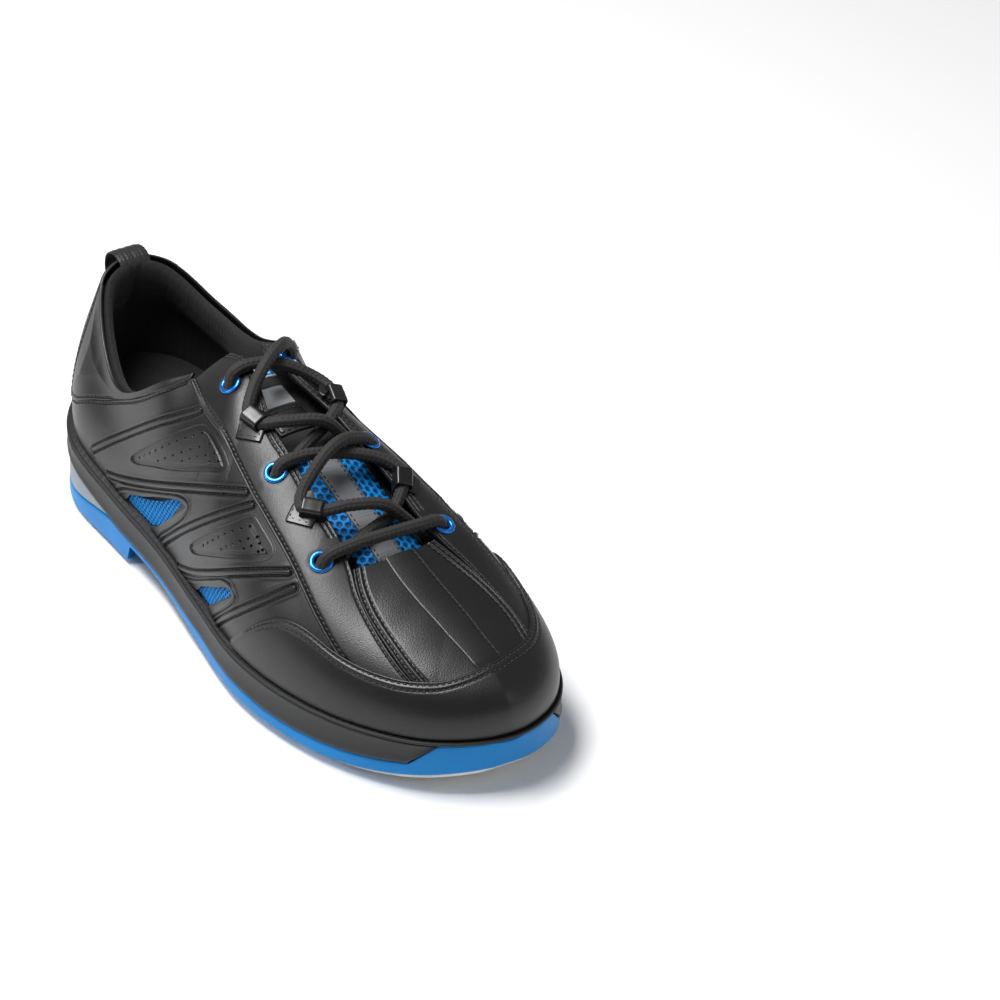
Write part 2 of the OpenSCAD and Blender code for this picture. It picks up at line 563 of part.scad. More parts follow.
module lace_loops() {
    inside = lace_d + 0.8;
    wall_t = 0.9;
    long = 10;
    color(black_leather) for (e = loop_at) {
        from = place(lace_path[e[0]]);
        to = place(lace_path[e[0] + 1]);
        run = unit(to - from);
        side = unit(cross(wall_out(e[1], e[2]), run));
        up = cross(run, side);
        at = (from + to) / 2;
        multmatrix([for (k = [0:2]) [side[k], up[k], run[k], at[k]]])
            linear_extrude(long, center = true) difference() {
                square(inside + 2 * wall_t, center = true);
                square(inside, center = true);
            }
    }
}

module lace() {
    n = len(lace_path);
    path = [for (p = lace_path) place(p)];
    dirs = [for (i = [0:n - 1]) unit(path[min(i + 1, n - 1)] - path[max(i - 1, 0)])];
    // Carry one side direction along the route so the rings do not twist
    sides = [for (i = 0, s = unit(cross(dirs[0], [0, 0, 1])); i < n; i = i + 1,
        s = i < n ? unit(s - dirs[i] * (s * dirs[i])) : s) s];
    rings = [for (i = [0:n - 1]) let (u = sides[i], v = cross(dirs[i], u)) [for (k = [0:lace_sides - 1])
        let (q = 360 * k / lace_sides) path[i] + lace_d / 2 * (cos(q) * u + sin(q) * v)]];
    first_end = [for (k = [0:lace_sides - 1]) k];
    last_end = [for (k = [lace_sides - 1:-1:0]) (n - 1) * lace_sides + k];
    tube = [for (i = [0:n - 2]) for (k = [0:lace_sides - 1])
        let (m = (k + 1) % lace_sides, p = i * lace_sides, q = p + lace_sides)
        each [[q + m, p + m, p + k], [q + k, q + m, p + k]]];
    color(black_cloth) polyhedron([for (r = rings) for (p = r) p], [first_end, for (f = tube) f, last_end]);
}

module aglet(tip, next) {
    d = unit(tip - next);
    translate(tip + d * 0.2) rotate([0, acos(d[2]), atan2(d[1], d[0])])
        cylinder(r = lace_d / 2 - 0.3, h = aglet_length, $fn = 24);
}

module aglets() {
    n = len(lace_path);
    color(black_rubber) aglet(place(lace_path[0]), place(lace_path[1]));
    color(black_rubber) aglet(place(lace_path[n - 1]), place(lace_path[n - 2]));
}

outsole();
slide_pad();
arch_panel(0.01, 0.21);  // arch_panel_outer
arch_panel(0.385, 0.61);  // arch_panel_centre
arch_panel(0.79, 0.99);  // arch_panel_inner
heel_treads();
heel_wedge();
foxing_band();
midsole();
welt();
shank();
insole_board();
insole();
heel_counter();
toe_puff();
toe_bumper();
vamp_outer();
vamp_inner();
vamp_strip();
eyestay(false);  // eyestay_outer
eyestay(true);  // eyestay_inner
quarter(false);  // quarter_outer
quarter(true);  // quarter_inner
mesh_window(mesh_rear, false);  // mesh_rear_outer
mesh_window(mesh_front, false);  // mesh_front_outer
mesh_window(mesh_rear, true);  // mesh_rear_inner
mesh_window(mesh_front, true);  // mesh_front_inner
collar(false);  // collar_outer
collar(true);  // collar_inner
back_stay();
pull_tab();
collar_lining();
collar_foam();
vamp_lining();
tongue_pad();
tongue_mesh(-1);  // tongue_mesh_outer
tongue_mesh(1);  // tongue_mesh_inner
tongue_patch_at(2.4, 5.3, -5.6, 5.6, 0.1, 0.9, 10, grey_foam);  // tongue_strip
tongue_patch_at(1.05, 1.5, -7, 7, 0.1, 0.8, 3, grey_foam);  // tongue_patch
tongue_patch_at(1.55, 2.1, -9, 9, 0.1, 0.9, 3, black_leather);  // tongue_keeper
tongue_patch_at(0.15, 0.75, -9, 9, 0.1, 0.7, 4, pad_white);  // tongue_label
lace_loops();
eyelets();
lace();
aglets();
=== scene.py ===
"""Looks of the bowling shoe: its visible pieces rebuilt finely on the CAD frame, materials, lights, camera."""

import math

import bpy
import numpy as np
from mathutils import Matrix


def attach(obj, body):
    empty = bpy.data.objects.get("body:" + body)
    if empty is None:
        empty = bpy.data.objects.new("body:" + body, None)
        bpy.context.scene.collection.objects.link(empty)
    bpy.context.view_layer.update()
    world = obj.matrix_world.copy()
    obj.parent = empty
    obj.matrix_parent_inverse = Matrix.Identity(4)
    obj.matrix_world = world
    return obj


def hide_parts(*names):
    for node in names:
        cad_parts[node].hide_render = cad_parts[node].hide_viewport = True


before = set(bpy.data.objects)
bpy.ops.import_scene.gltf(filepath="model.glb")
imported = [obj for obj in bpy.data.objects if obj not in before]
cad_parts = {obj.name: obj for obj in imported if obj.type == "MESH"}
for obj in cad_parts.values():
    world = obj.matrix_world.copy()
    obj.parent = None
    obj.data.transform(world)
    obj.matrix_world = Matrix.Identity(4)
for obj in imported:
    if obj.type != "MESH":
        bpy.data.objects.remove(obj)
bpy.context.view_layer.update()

# ---------------------------------------------------------------- the shoe's own surface, millimetres
# x 0 at the heel to 300.5 at the toe, y + to the inner side, z up; ORIGIN is the CAD frame's origin
ORIGIN = np.array([150.25, 2.0, 0.0])
GAP = 0.2
LEATHER = 1.3
# The sole's outline seen from above, then heights, insets and leans, one value per tenth from heel to toe
RIM = [[0, 0], [12, -26], [37, -41.5], [75, -43.5], [115, -44], [155, -49], [195, -54], [230, -50],
       [262, -38], [288, -18], [300.5, 10], [292, 36], [269, 53], [235, 58], [200, 53], [160, 42],
       [120, 37], [80, 38.5], [37, 38.5], [12, 26]]
RIDGE_Z = [36, 34, 30.5, 26, 23, 22, 22, 22, 22.5, 23.5, 24.5]
FEATHER_RISE = [5, 4, 3.5, 3, 2.5, 2, 2, 2, 2, 2, 2]
FEATHER_INSET = [5, 4, 4.5, 4.5, 4.5, 4.5, 4.5, 4.5, 4.5, 4.5, 4.5]
BAND_LOW = [25.5, 25, 21.5, 14.5, 11.5, 10.5, 10, 9.5, 11, 15, 19]
WEDGE_LOW = [6, 6, 8.5, 14.3]
# Top line of the upper on both sides, and how its wall leaves the sole and meets the top line
TOP_OUTER = [[14, 2, 99], [21, -14, 94], [42, -25, 77], [68, -31, 71], [99, -26.5, 92], [114, 1, 105],
             [150, 2.5, 97], [187, 4, 83], [222, 6, 67], [255, 8, 56], [277, 9.5, 49]]
TOP_INNER = [[14, 2, 99], [22, 17, 93], [42, 28, 80], [68, 32, 77], [101, 28, 94], [114, 1, 105],
             [150, 2.5, 97], [187, 4, 83], [222, 6, 67], [255, 8, 56], [277, 9.5, 49]]
LOW_HANDLE = [26, 26, 24, 22, 30, 44, 42, 36, 26, 19, 16]
HIGH_HANDLE = [20, 20, 18, 18, 24, 34, 32, 32, 28, 21, 16]
WALL_LEAN = [-2, 2, 4, 4, 4, 4, 5, 6, 8, 10, 14]
TOP_DROP = [70, 72, 78, 80, 50, 4, 0, 0, 0, 0, 0]


def catmull(a, b, c, d, f):
    return 0.5 * (2 * b + (c - a) * f + (2 * a - 5 * b + 4 * c - d) * f**2
                  + (3 * b - a - 3 * c + d) * f**3)


def through(keys, s):
    """Smooth curve through the keys, s counting them from 0."""
    k = np.asarray(keys, float)
    k = k[:, None] if k.ndim == 1 else k
    n = len(k)
    s = np.atleast_1d(np.asarray(s, float))
    i = np.clip(np.floor(s).astype(int), 0, n - 2)
    e = np.vstack([2 * k[0] - k[1], k, 2 * k[-1] - k[-2]])
    out = catmull(e[i], e[i + 1], e[i + 2], e[i + 3], (s - i)[:, None])
    return out if out.shape[1] > 1 else out[:, 0]


def unit(p):
    return p / np.maximum(np.linalg.norm(p, axis=-1, keepdims=True), 1e-9)


def stage_of(a):
    """Share of the way from heel to toe: 0 to 1 is the outer side, below 0 and above 1 the inner side."""
    return np.where(a < 0, -a, np.where(a > 1, 2 - a, a))


def at_stage(keys, a):
    """Value at station a, of any shape, of one number per tenth of the way from heel to toe."""
    a = np.atleast_1d(a)
    return through(keys, stage_of(a).ravel() * 10).reshape(a.shape)


def rim(a):
    k = np.asarray(RIM, float)
    n = len(k)
    s = np.where(a < 0, a + 2, a) * n / 2
    i = np.floor(s).astype(int)
    return catmull(k[(i - 1) % n], k[i % n], k[(i + 1) % n], k[(i + 2) % n], (s - i)[:, None])


def rim_out(a):
    d = rim(a + 0.002) - rim(a - 0.002)
    return unit(np.stack([d[:, 1], -d[:, 0]], -1))


def rim_point(a, inset, z):
    a = np.atleast_1d(np.asarray(a, float))
    p = rim(a) - rim_out(a) * np.broadcast_to(np.asarray(inset, float), a.shape)[:, None]
    return np.column_stack([p, np.broadcast_to(z, a.shape)])


def feather_z(a):
    return at_stage(RIDGE_Z, a) + at_stage(FEATHER_RISE, a)


def across(t, c, inset, z):
    """Point of the sole: c is 0 at the outer edge and 1 at the inner one."""
    shape = np.broadcast(t, c, inset, z).shape
    t, c, inset, z = (np.broadcast_to(q, shape).ravel().astype(float) for q in (t, c, inset, z))
    p = rim_point(t, inset, z) * (1 - c)[:, None] + rim_point(-t, inset, z) * c[:, None]
    return p.reshape(shape + (3,))


def wall(a, v):
    """Point of the upper's wall at station a and height v (0 sole, 1 top line)."""
    shape = np.broadcast(a, v).shape
    a, v = (np.broadcast_to(q, shape).ravel().astype(float) for q in (a, v))
    t = stage_of(a)
    inner = (a < 0) | (a > 1)

    def top_at(u):
        return np.where(inner[:, None], through(TOP_INNER, u * 10), through(TOP_OUTER, u * 10))

    foot = rim_point(a, at_stage(FEATHER_INSET, a), feather_z(a))
    top = top_at(t)
    lean = np.radians(at_stage(WALL_LEAN, a))
    up = np.column_stack([rim_out(a) * np.sin(lean)[:, None], np.cos(lean)])
    low = foot + at_stage(LOW_HANDLE, a)[:, None] * up
    h = unit(foot[:, :2] - top[:, :2])
    e = top_at(np.minimum(t + 0.002, 1)) - top_at(np.maximum(t - 0.002, 0.5))
    rise = np.clip((t - 0.5) / 0.04, 0, 1) * e[:, 2] / np.maximum(e[:, 0], 1e-6) * h[:, 0]
    drop = np.radians(at_stage(TOP_DROP, a))
    way = unit(np.column_stack([h * np.cos(drop)[:, None], np.cos(drop) * rise - np.sin(drop)]))
    high = top + at_stage(HIGH_HANDLE, a)[:, None] * way
    v = v[:, None]
    w = 1 - v
    return (w**3 * foot + 3 * w * w * v * low + 3 * w * v * v * high + v**3 * top).reshape(shape + (3,))


def wall_out(a, v):
    a, v = np.broadcast_arrays(np.asarray(a, float), np.minimum(v, 0.985))
    e = 0.004
    return unit(np.cross(wall(a + e, v) - wall(a - e, v), wall(a, v + e) - wall(a, v - e)))


def on_wall(at, lift=0.0):
    """Points of the wall at [station, height] rows, lifted along their normals, and the normals."""
    out = wall_out(at[..., 0], at[..., 1])
    return wall(at[..., 0], at[..., 1]) + out * lift, out


def wall_spot(a, v, lift=0.0):
    """One point of the wall, lifted along its normal, and the normal."""
    point, out = on_wall(np.array([[a, v]]), lift)
    return point[0], out[0]


def sided(stem, side):
    return f"{stem}_{'outer' if side > 0 else 'inner'}"


def run_of(line):
    """Length along a line up to each of its points."""
    return np.concatenate([[0], np.cumsum(np.linalg.norm(np.diff(line, axis=0), axis=1))])


def along(line, run, where):
    """Points or directions of a line at lengths along it."""
    return np.stack([np.interp(where, run, q) for q in line.T], -1)


def rounded(d, r):
    """Quarter-round rise from 0 at an edge to 1 at a distance r in from it."""
    return np.sqrt(1 - (1 - np.clip(d / r, 0, 1)) ** 2)


def hump(d, width):
    return np.exp(-(d / width) ** 2)


# ---------------------------------------------------------------- materials
WEAVE_WOBBLE = 0.6
CLOUDS_PER_METRE = 28


def finish_for(name, base, rough, grain, size, depth, mottle=0.12, rough_span=0.08, metallic=0.0,
               sheen=0.0, coat=0.0, pit_shade=0.35, shine=0.5):
    """Procedural material; grain is voronoi, noise or weave, size and depth in mm; marked pits and grooves get
    the base colour scaled down by a set share, painted shade.
    """
    m = bpy.data.materials.new(name)
    m.use_nodes = True
    tree = m.node_tree
    bsdf = tree.nodes["Principled BSDF"]
    link = tree.links.new

    def node(kind, values=()):
        made = tree.nodes.new("ShaderNode" + kind)
        for key, value in values:
            made.inputs[key].default_value = value
        return made

    place = node("TexCoord").outputs["Object"]
    scale = 1000 / size
    if grain == "voronoi":
        tex = node("TexVoronoi", [("Scale", scale)])
        tex.feature = "DISTANCE_TO_EDGE"
        link(place, tex.inputs["Vector"])
        height = tex.outputs["Distance"]
    elif grain == "weave":
        product = node("Math")
        product.operation = "MULTIPLY"
        for term, way in enumerate("XY"):
            wave = node("TexWave", [("Scale", scale / 20 * math.pi), ("Distortion", WEAVE_WOBBLE)])
            wave.bands_direction = way
            link(place, wave.inputs["Vector"])
            link(wave.outputs["Fac"], product.inputs[term])
        height = product.outputs["Value"]
    else:
        tex = node("TexNoise", [("Scale", scale), ("Detail", 6)])
        link(place, tex.inputs["Vector"])
        height = tex.outputs["Fac"]
    bump = node("Bump", [("Strength", 1.0), ("Distance", depth / 1000)])
    link(height, bump.inputs["Height"])
    link(bump.outputs["Normal"], bsdf.inputs["Normal"])
    # Large soft clouds vary the tone and the gloss a little
    cloud = node("TexNoise", [("Scale", CLOUDS_PER_METRE), ("Detail", 5)])
    link(place, cloud.inputs["Vector"])
    ramp = node("ValToRGB")
    for stop, position, gain in zip(ramp.color_ramp.elements, (0.3, 0.7), (1 - mottle, 1 + mottle)):
        stop.position = position
        stop.color = [min(1, c * gain) for c in base] + [1]
    link(cloud.outputs["Fac"], ramp.inputs["Fac"])
    # Painted shade: where the mesh's per-point tone is low, in pits, grooves and holes, the colour blends to a
    # darkened copy of the base colour
    shade_tone = node("Attribute")
    shade_tone.attribute_name = "shade_tone"
    mix = node("Mix")
    mix.data_type = "RGBA"
    pit_shade_colour, on_top = [s for s in mix.inputs if s.type == "RGBA"]
    pit_shade_colour.default_value = [c * pit_shade for c in base] + [1]
    link(shade_tone.outputs["Fac"], mix.inputs["Factor"])
    link(ramp.outputs["Color"], on_top)
    link([s for s in mix.outputs if s.type == "RGBA"][0], bsdf.inputs["Base Color"])
    gloss = node("MapRange", [("To Min", rough - rough_span), ("To Max", rough + rough_span)])
    link(cloud.outputs["Fac"], gloss.inputs["Value"])
    link(gloss.outputs["Result"], bsdf.inputs["Roughness"])
    bsdf.inputs["Metallic"].default_value = metallic
    bsdf.inputs["Specular IOR Level"].default_value = shine
    bsdf.inputs["Sheen Weight"].default_value = sheen
    bsdf.inputs["Coat Weight"].default_value = coat
    bsdf.inputs["Coat Roughness"].default_value = 0.25
    return m


# The darkening a look sets for its pits is painted shade in its holes and grooves
LOOKS = {
    "upper_leather": finish_for("shoe_leather", (0.005, 0.005, 0.0053), 0.38, "voronoi", 1.0, 0.07),
    "stay_leather": finish_for("stay_leather", (0.0065, 0.0065, 0.007), 0.39, "voronoi", 0.9, 0.07),
    "thread": finish_for("thread", (0.012, 0.012, 0.013), 0.5, "noise", 0.4, 0.05, sheen=0.1),
    "lining_cloth": finish_for("lining_knit", (0.008, 0.0078, 0.0078), 0.85, "weave", 1.0, 0.13, sheen=0.05),
    "insole_cloth": finish_for("insole_knit", (0.008, 0.008, 0.008), 0.85, "weave", 0.9, 0.1, sheen=0.04),
    "webbing": finish_for("webbing", (0.009, 0.009, 0.0095), 0.45, "weave", 0.9, 0.1, sheen=0.05),
    "mesh_blue": finish_for("mesh_blue", (0.0, 0.21, 0.6), 0.55, "noise", 0.5, 0.06, pit_shade=0.16, shine=0.25),
    "strap_leather": finish_for("strap_leather", (0.007, 0.007, 0.0075), 0.3, "noise", 0.8, 0.02),
    "lace_cloth": finish_for("lace_braid", (0.013, 0.011, 0.0105), 0.7, "noise", 0.35, 0.06, sheen=0.08),
    "tip_plastic": finish_for("tip_plastic", (0.02, 0.02, 0.021), 0.28, "noise", 3, 0.01),
    "eyelet_metal": finish_for("eyelet_blue", (0.008, 0.2, 0.68), 0.22, "noise", 2, 0.008, metallic=0.75,
                               rough_span=0.05, coat=0.4),
    "strip_grey": finish_for("strip_grey", (0.13, 0.135, 0.145), 0.55, "weave", 0.8, 0.06, sheen=0.2),
    "patch_silver": finish_for("patch_silver", (0.42, 0.44, 0.46), 0.4, "voronoi", 0.7, 0.03, metallic=0.25),
    "label_cloth": finish_for("label_cloth", (0.62, 0.66, 0.7), 0.7, "weave", 0.6, 0.05, sheen=0.2),
    "welt_rubber": finish_for("welt_rubber", (0.011, 0.011, 0.0115), 0.6, "noise", 0.7, 0.08),
    "band_rubber": finish_for("band_rubber", (0.013, 0.013, 0.0135), 0.55, "noise", 1.2, 0.02),
    "sole_blue": finish_for("sole_blue", (0.0, 0.205, 0.56), 0.45, "noise", 1.5, 0.02, pit_shade=0.25, shine=0.25),
    "pad_white": finish_for("pad_white", (0.78, 0.78, 0.75), 0.72, "noise", 0.6, 0.05, mottle=0.06),
    "foam_grey": finish_for("foam_grey", (0.27, 0.31, 0.36), 0.6, "noise", 0.8, 0.04),
    "filler_foam": finish_for("filler_foam", (0.03, 0.03, 0.032), 0.8, "voronoi", 0.8, 0.06),
    "board": finish_for("board", (0.42, 0.33, 0.2), 0.85, "noise", 1.0, 0.08),
    "shank_steel": finish_for("shank_steel", (0.45, 0.46, 0.48), 0.35, "noise", 2, 0.01, metallic=1.0),
}


# ---------------------------------------------------------------- mesh building
def grid_faces(rows, cols, closed=False):
    """Quads of a grid of rows by cols points; closed joins the last row to the first."""
    i = np.arange(rows if closed else rows - 1)[:, None]
    j = np.arange(cols - 1)[None, :]
    k = (i + 1) % rows
    return np.stack([i * cols + j, k * cols + j, k * cols + j + 1, i * cols + j + 1], -1).reshape(-1, 4)


def sheet_part(points, shade_tone=None, closed=False):
    """One grid of points (rows, cols, 3) as a part of a piece."""
    rows, cols = points.shape[:2]
    shade_tone = np.ones(rows * cols) if shade_tone is None else shade_tone.ravel()
    return points.reshape(-1, 3), grid_faces(rows, cols, closed), shade_tone


def turned(part):
    return part[0], part[1][:, ::-1], part[2]


def facing(part, away_from):
    """The part with its faces turned away from a point."""
    co, faces, _ = part
    q = co[faces]
    normal = np.cross(q[:, 1] - q[:, 0], q[:, 2] - q[:, 0])
    out = q.mean(1) - np.asarray(away_from, float)
    return part if (normal * out).sum() > 0 else turned(part)


def shell(points, away_from, shade_tone=None, closed=False):
    """A grid of points as a part whose faces look away from a point."""
    return facing(sheet_part(points, shade_tone, closed), away_from)


def skirt(away_from, *grids):
    """The strip that joins the borders of grids laid one over the other."""
    rings = [np.concatenate([g[:, 0], g[-1, 1:], g[-2::-1, -1], g[0, -2:0:-1]]) for g in grids]
    return shell(np.stack(rings, 1), away_from, closed=True)


def piece(name, parts, look, body="shoe"):
    """One object of the shoe from its parts, in CAD-frame metres; it replaces the node of its name."""
    co, faces, shade_tone, base = [], [], [], 0
    for c, f, t in parts:
        co.append(c)
        faces.append(f + base)
        shade_tone.append(t)
        base += len(c)
    co = (np.vstack(co) - ORIGIN) / 1000
    loops = np.concatenate([f.ravel() for f in faces])
    sizes = np.concatenate([np.full(len(f), f.shape[1]) for f in faces])
    starts = np.concatenate([[0], np.cumsum(sizes)[:-1]])
    in_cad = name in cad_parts
    label = name + "_fine" if in_cad else name
    mesh = bpy.data.meshes.new(label)
    mesh.vertices.add(len(co))
    mesh.vertices.foreach_set("co", co.astype(np.float32).ravel())
    mesh.loops.add(len(loops))
    mesh.loops.foreach_set("vertex_index", loops.astype(np.int32))
    mesh.polygons.add(len(sizes))
    mesh.polygons.foreach_set("loop_start", starts.astype(np.int32))
    mesh.update(calc_edges=True)
    mesh.polygons.foreach_set("use_smooth", np.ones(len(sizes), bool))
    layer = mesh.attributes.new("shade_tone", "FLOAT", "POINT")
    layer.data.foreach_set("value", np.concatenate(shade_tone).astype(np.float32))
    mesh.materials.append(LOOKS[look])
    obj = bpy.data.objects.new(label, mesh)
    bpy.context.scene.collection.objects.link(obj)
    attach(obj, body)
    if in_cad:
        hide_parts(name)
    return obj


def dense(keys, per_key=14):
    """Points along the smooth line through the keys."""
    n = len(keys)
    return through(keys, np.linspace(0, n - 1, (n - 1) * per_key + 1))


def edge_line(keys, s):
    """Station and height at s along an edge given as rows of s, station, height."""
    d = dense(keys, 20)
    at = np.maximum.accumulate(d[:, 0])
    return np.stack([np.interp(s, at, d[:, 1]), np.interp(s, at, d[:, 2])], -1)


def counted(keys):
    return [[i, k[0], k[1]] for i, k in enumerate(keys)]


def distance_to(points, line, reach=6.0):
    """Distance of each point from a polyline, or reach where it is further."""
    out = np.full(len(points), reach)
    lo, hi = line.min(0) - reach, line.max(0) + reach
    near = np.flatnonzero(((points > lo) & (points < hi)).all(1))
    for start in range(0, len(near), 20000):
        pick = near[start:start + 20000]
        p = points[pick][:, None]
        a, d = line[:-1][None], (line[1:] - line[:-1])[None]
        f = np.clip(((p - a) * d).sum(-1) / np.maximum((d * d).sum(-1), 1e-12), 0, 1)
        out[pick] = np.minimum(reach, np.linalg.norm(p - a - d * f[..., None], axis=-1).min(1))
    return out


def spaced(total, step, borders):
    """Places from 0 to total about step apart, with the given border distances at both ends."""
    inner = max(2, int(math.ceil(total / step)))
    mid = np.linspace(0, total, inner + 1)
    edge = np.array([b for b in borders if b < total / 2])
    return np.unique(np.concatenate([mid, edge, total - edge])) / total


# Distances from an edge where a panel gets extra rows of points, and how far in its edge is rounded
BORDERS = (0.0, 0.08, 0.22, 0.45, 0.8)
EDGE_ROUND = 0.7
# Points inside the shoe that its outer faces look away from: in the whole upper, and low in the quarter
HEART = [140, 2, 40]
QUARTER_HEART = [70, 2, 20]


class Panel:
    """A leather or cloth panel on the wall, between a low and a high edge (rows of s, station, height)."""

    def __init__(self, low, high, step, side=1):
        self.low, self.high, self.side = low, high, side
        span = max(low[-1][0], high[-1][0])
        s = np.linspace(0, span, 400)
        a, b = self.point(s, 0.0), self.point(s, 1.0)
        m = self.point(s, 0.5)
        run = np.maximum.reduce([np.linalg.norm(np.diff(q, axis=0), axis=1) for q in (a, m, b)])
        dist = np.concatenate([[0], np.cumsum(run)])
        rungs = sum(np.linalg.norm(self.point(s, (k + 1) / 4) - self.point(s, k / 4), axis=1) for k in range(4))
        self.s = np.interp(spaced(dist[-1], step, BORDERS) * dist[-1], dist, s)
        self.t = spaced(rungs.max(), step, BORDERS)
        self.rung = np.interp(self.s, s, rungs)
        self.run = np.interp(self.s, s, dist)
        self.at = self.spot(self.s[:, None], self.t[None, :])
        self.mid, self.out = on_wall(self.at)
        self.from_low = self.t[None, :] * self.rung[:, None]
        self.from_high = (1 - self.t)[None, :] * self.rung[:, None]
        self.from_ends = np.minimum(self.run, dist[-1] - self.run)[:, None] + 0 * self.from_low
        self.border = np.minimum(np.minimum(self.from_low, self.from_high), self.from_ends)

    def spot(self, s, t):
        """Station and height, signed for the side of the shoe."""
        s, t = np.broadcast_arrays(s, t)
        a, b = edge_line(self.low, s), edge_line(self.high, s)
        at = a * (1 - t[..., None]) + b * t[..., None]
        at[..., 0] *= self.side
        return at

    def point(self, s, t):
        at = self.spot(s, np.asarray(t) + 0 * s)
        return wall(at[..., 0], at[..., 1])

    def beside(self, edge, inset, lift, first=0.0, last=1.0):
        """Line at a distance in from one edge, with its normals, for stitches."""
        s = self.s[0] + (self.s[-1] - self.s[0]) * np.array([first, last])
        s = np.linspace(s[0], s[1], 300)
        rung = np.interp(s, self.s, self.rung)
        s, rung = s[rung > 2.2 * inset], rung[rung > 2.2 * inset]
        share = inset / rung
        return on_wall(self.spot(s, share if edge == "low" else 1 - share), lift)

    def parts(self, low_lift, high_lift, relief=None, shade_tone=None):
        """The face with its relief, the skirt round it, and a coarser back."""
        shape = low_lift + (high_lift - low_lift) * (0.35 + 0.65 * rounded(self.border, EDGE_ROUND))
        lift = shape + (0 if relief is None else relief * np.clip(self.border / 0.5, 0, 1))
        face = self.mid + self.out * lift[..., None]
        back = self.mid + self.out * low_lift
        some_s, some_t = (np.unique(np.append(np.arange(0, n, 4), n - 1)) for n in back.shape[:2])
        under = back[some_s][:, some_t]
        return [shell(face, HEART, shade_tone), skirt(face.mean((0, 1)), face, back), turned(shell(under, HEART))]


def line_on(keys, side):
    """Smooth line on the wall through [station, height] keys, and its normals."""
    return on_wall(dense(keys) * [side, 1])


def fair(line, degree=3):
    """The line moved onto the smoothest curve in space that follows it."""
    t = run_of(line)
    u = np.linspace(0, t[-1], len(line))
    return np.stack([np.polyval(np.polyfit(t, q, degree), u) for q in line.T], -1)


def laid(line, surface):
    """The line dropped onto a grid of the quarter's surface points, and the normals there."""
    flat = surface.reshape(-1, 3)
    normals = unit(np.cross(np.gradient(surface, axis=1), np.gradient(surface, axis=0))).reshape(-1, 3)
    near = [int(((flat - q) ** 2).sum(1).argmin()) for q in line]
    out = normals[near] * np.sign(((flat[near] - QUARTER_HEART) * normals[near]).sum(1))[:, None]
    return line + out * ((flat[near] - line) * out).sum(1)[:, None], out


def kept(part, keep):
    """The part with only the faces whose corners are all kept, and no loose corners."""
    co, faces, shade_tone = part
    faces = faces[np.asarray(keep).ravel()[faces].all(1)]
    used, faces = np.unique(faces, return_inverse=True)
    return co[used], faces.reshape(-1, part[1].shape[1]), shade_tone[used]


def inside_of(x, y, outline):
    """Which spots lie inside a closed outline."""
    hit = np.zeros(x.shape, bool)
    for (x0, y0), (x1, y1) in zip(outline, np.roll(outline, -1, 0)):
        if y0 != y1:
            hit ^= ((y0 > y) != (y1 > y)) & (x < (x1 - x0) * (y - y0) / (y1 - y0) + x0)
    return hit


THREADS = []


def resample(line, normals, pitch):
    """Middles of the stitches along a line, with their directions and normals."""
    run = run_of(line)
    n = max(1, int(run[-1] / pitch))
    where = (np.arange(n) + 0.5) * run[-1] / n
    way = along(line, run, where + 0.2) - along(line, run, where - 0.2)
    return along(line, run, where), unit(way), unit(along(normals, run, where))


def stitch(line, normals, pitch=2.5, long=1.75, r=0.27, into=THREADS):
    """A row of separate stitches: each a short bowed thread whose ends dip into the leather."""
    p, ahead, up = resample(line, normals, pitch)
    aside = np.cross(up, ahead)
    x = np.array([-0.5, -0.3, 0, 0.3, 0.5])
    fat = np.array([0.55, 1, 1, 1, 0.55])
    bow = np.array([-0.34, 0.02, 0.1, 0.02, -0.34])
    q = np.linspace(0, 2 * math.pi, 7)[:-1]
    co = (p[:, None, None] + ahead[:, None, None] * (x * long)[None, :, None, None]
          + up[:, None, None] * (bow[:, None] + r * fat[:, None] * np.sin(q))[None, ..., None]
          + aside[:, None, None] * (r * fat[:, None] * np.cos(q))[None, ..., None])
    one = np.concatenate([[[j * 6 + k, j * 6 + (k + 1) % 6, (j + 1) * 6 + (k + 1) % 6, (j + 1) * 6 + k]
                           for k in range(6)] for j in range(4)])
    faces = (one[None] + 30 * np.arange(len(p))[:, None, None]).reshape(-1, 4)
    into.append((co.reshape(-1, 3), faces, np.ones(len(p) * 30)))


# ---------------------------------------------------------------- leather panels of the upper
QUARTER_LOW = [[0, 0.005, 0], [1, 0.1, 0], [2, 0.2, 0], [3, 0.27, 0], [4, 0.318, 0], [4.25, 0.335, 0.09],
               [4.5, 0.362, 0.17], [4.75, 0.395, 0.255], [4.9, 0.428, 0.297], [5, 0.461, 0.304],
               [5.08, 0.473, 0.288], [5.3, 0.447, 0.25], [5.6, 0.415, 0.16], [5.85, 0.39, 0.06],
               [6, 0.378, 0], [7, 0.478, 0], [7.3, 0.51, 0.06], [7.6, 0.545, 0.125], [7.85, 0.57, 0.175],
               [8, 0.58, 0.185], [8.1, 0.584, 0.175], [8.35, 0.57, 0.13], [8.7, 0.545, 0.06],
               [9, 0.523, 0], [10, 0.6, 0]]
QUARTER_HIGH = [[0, 0.005, 0.12], [1, 0.1, 0.125], [1.5, 0.152, 0.135], [1.75, 0.178, 0.21],
                [2, 0.2, 0.305], [2.3, 0.222, 0.46], [2.6, 0.244, 0.625], [3, 0.279, 0.84],
                [3.3, 0.312, 0.925], [3.6, 0.36, 0.935], [4, 0.432, 0.93], [4.3, 0.45, 0.8],
                [4.6, 0.468, 0.7], [5, 0.493, 0.616], [5.5, 0.53, 0.572], [6, 0.575, 0.552],
                [6.5, 0.598, 0.542], [7, 0.625, 0.527], [7.5, 0.648, 0.512], [8, 0.668, 0.495],
                [8.5, 0.685, 0.475], [9, 0.702, 0.443], [9.5, 0.73, 0.39], [10, 0.76, 0.315]]
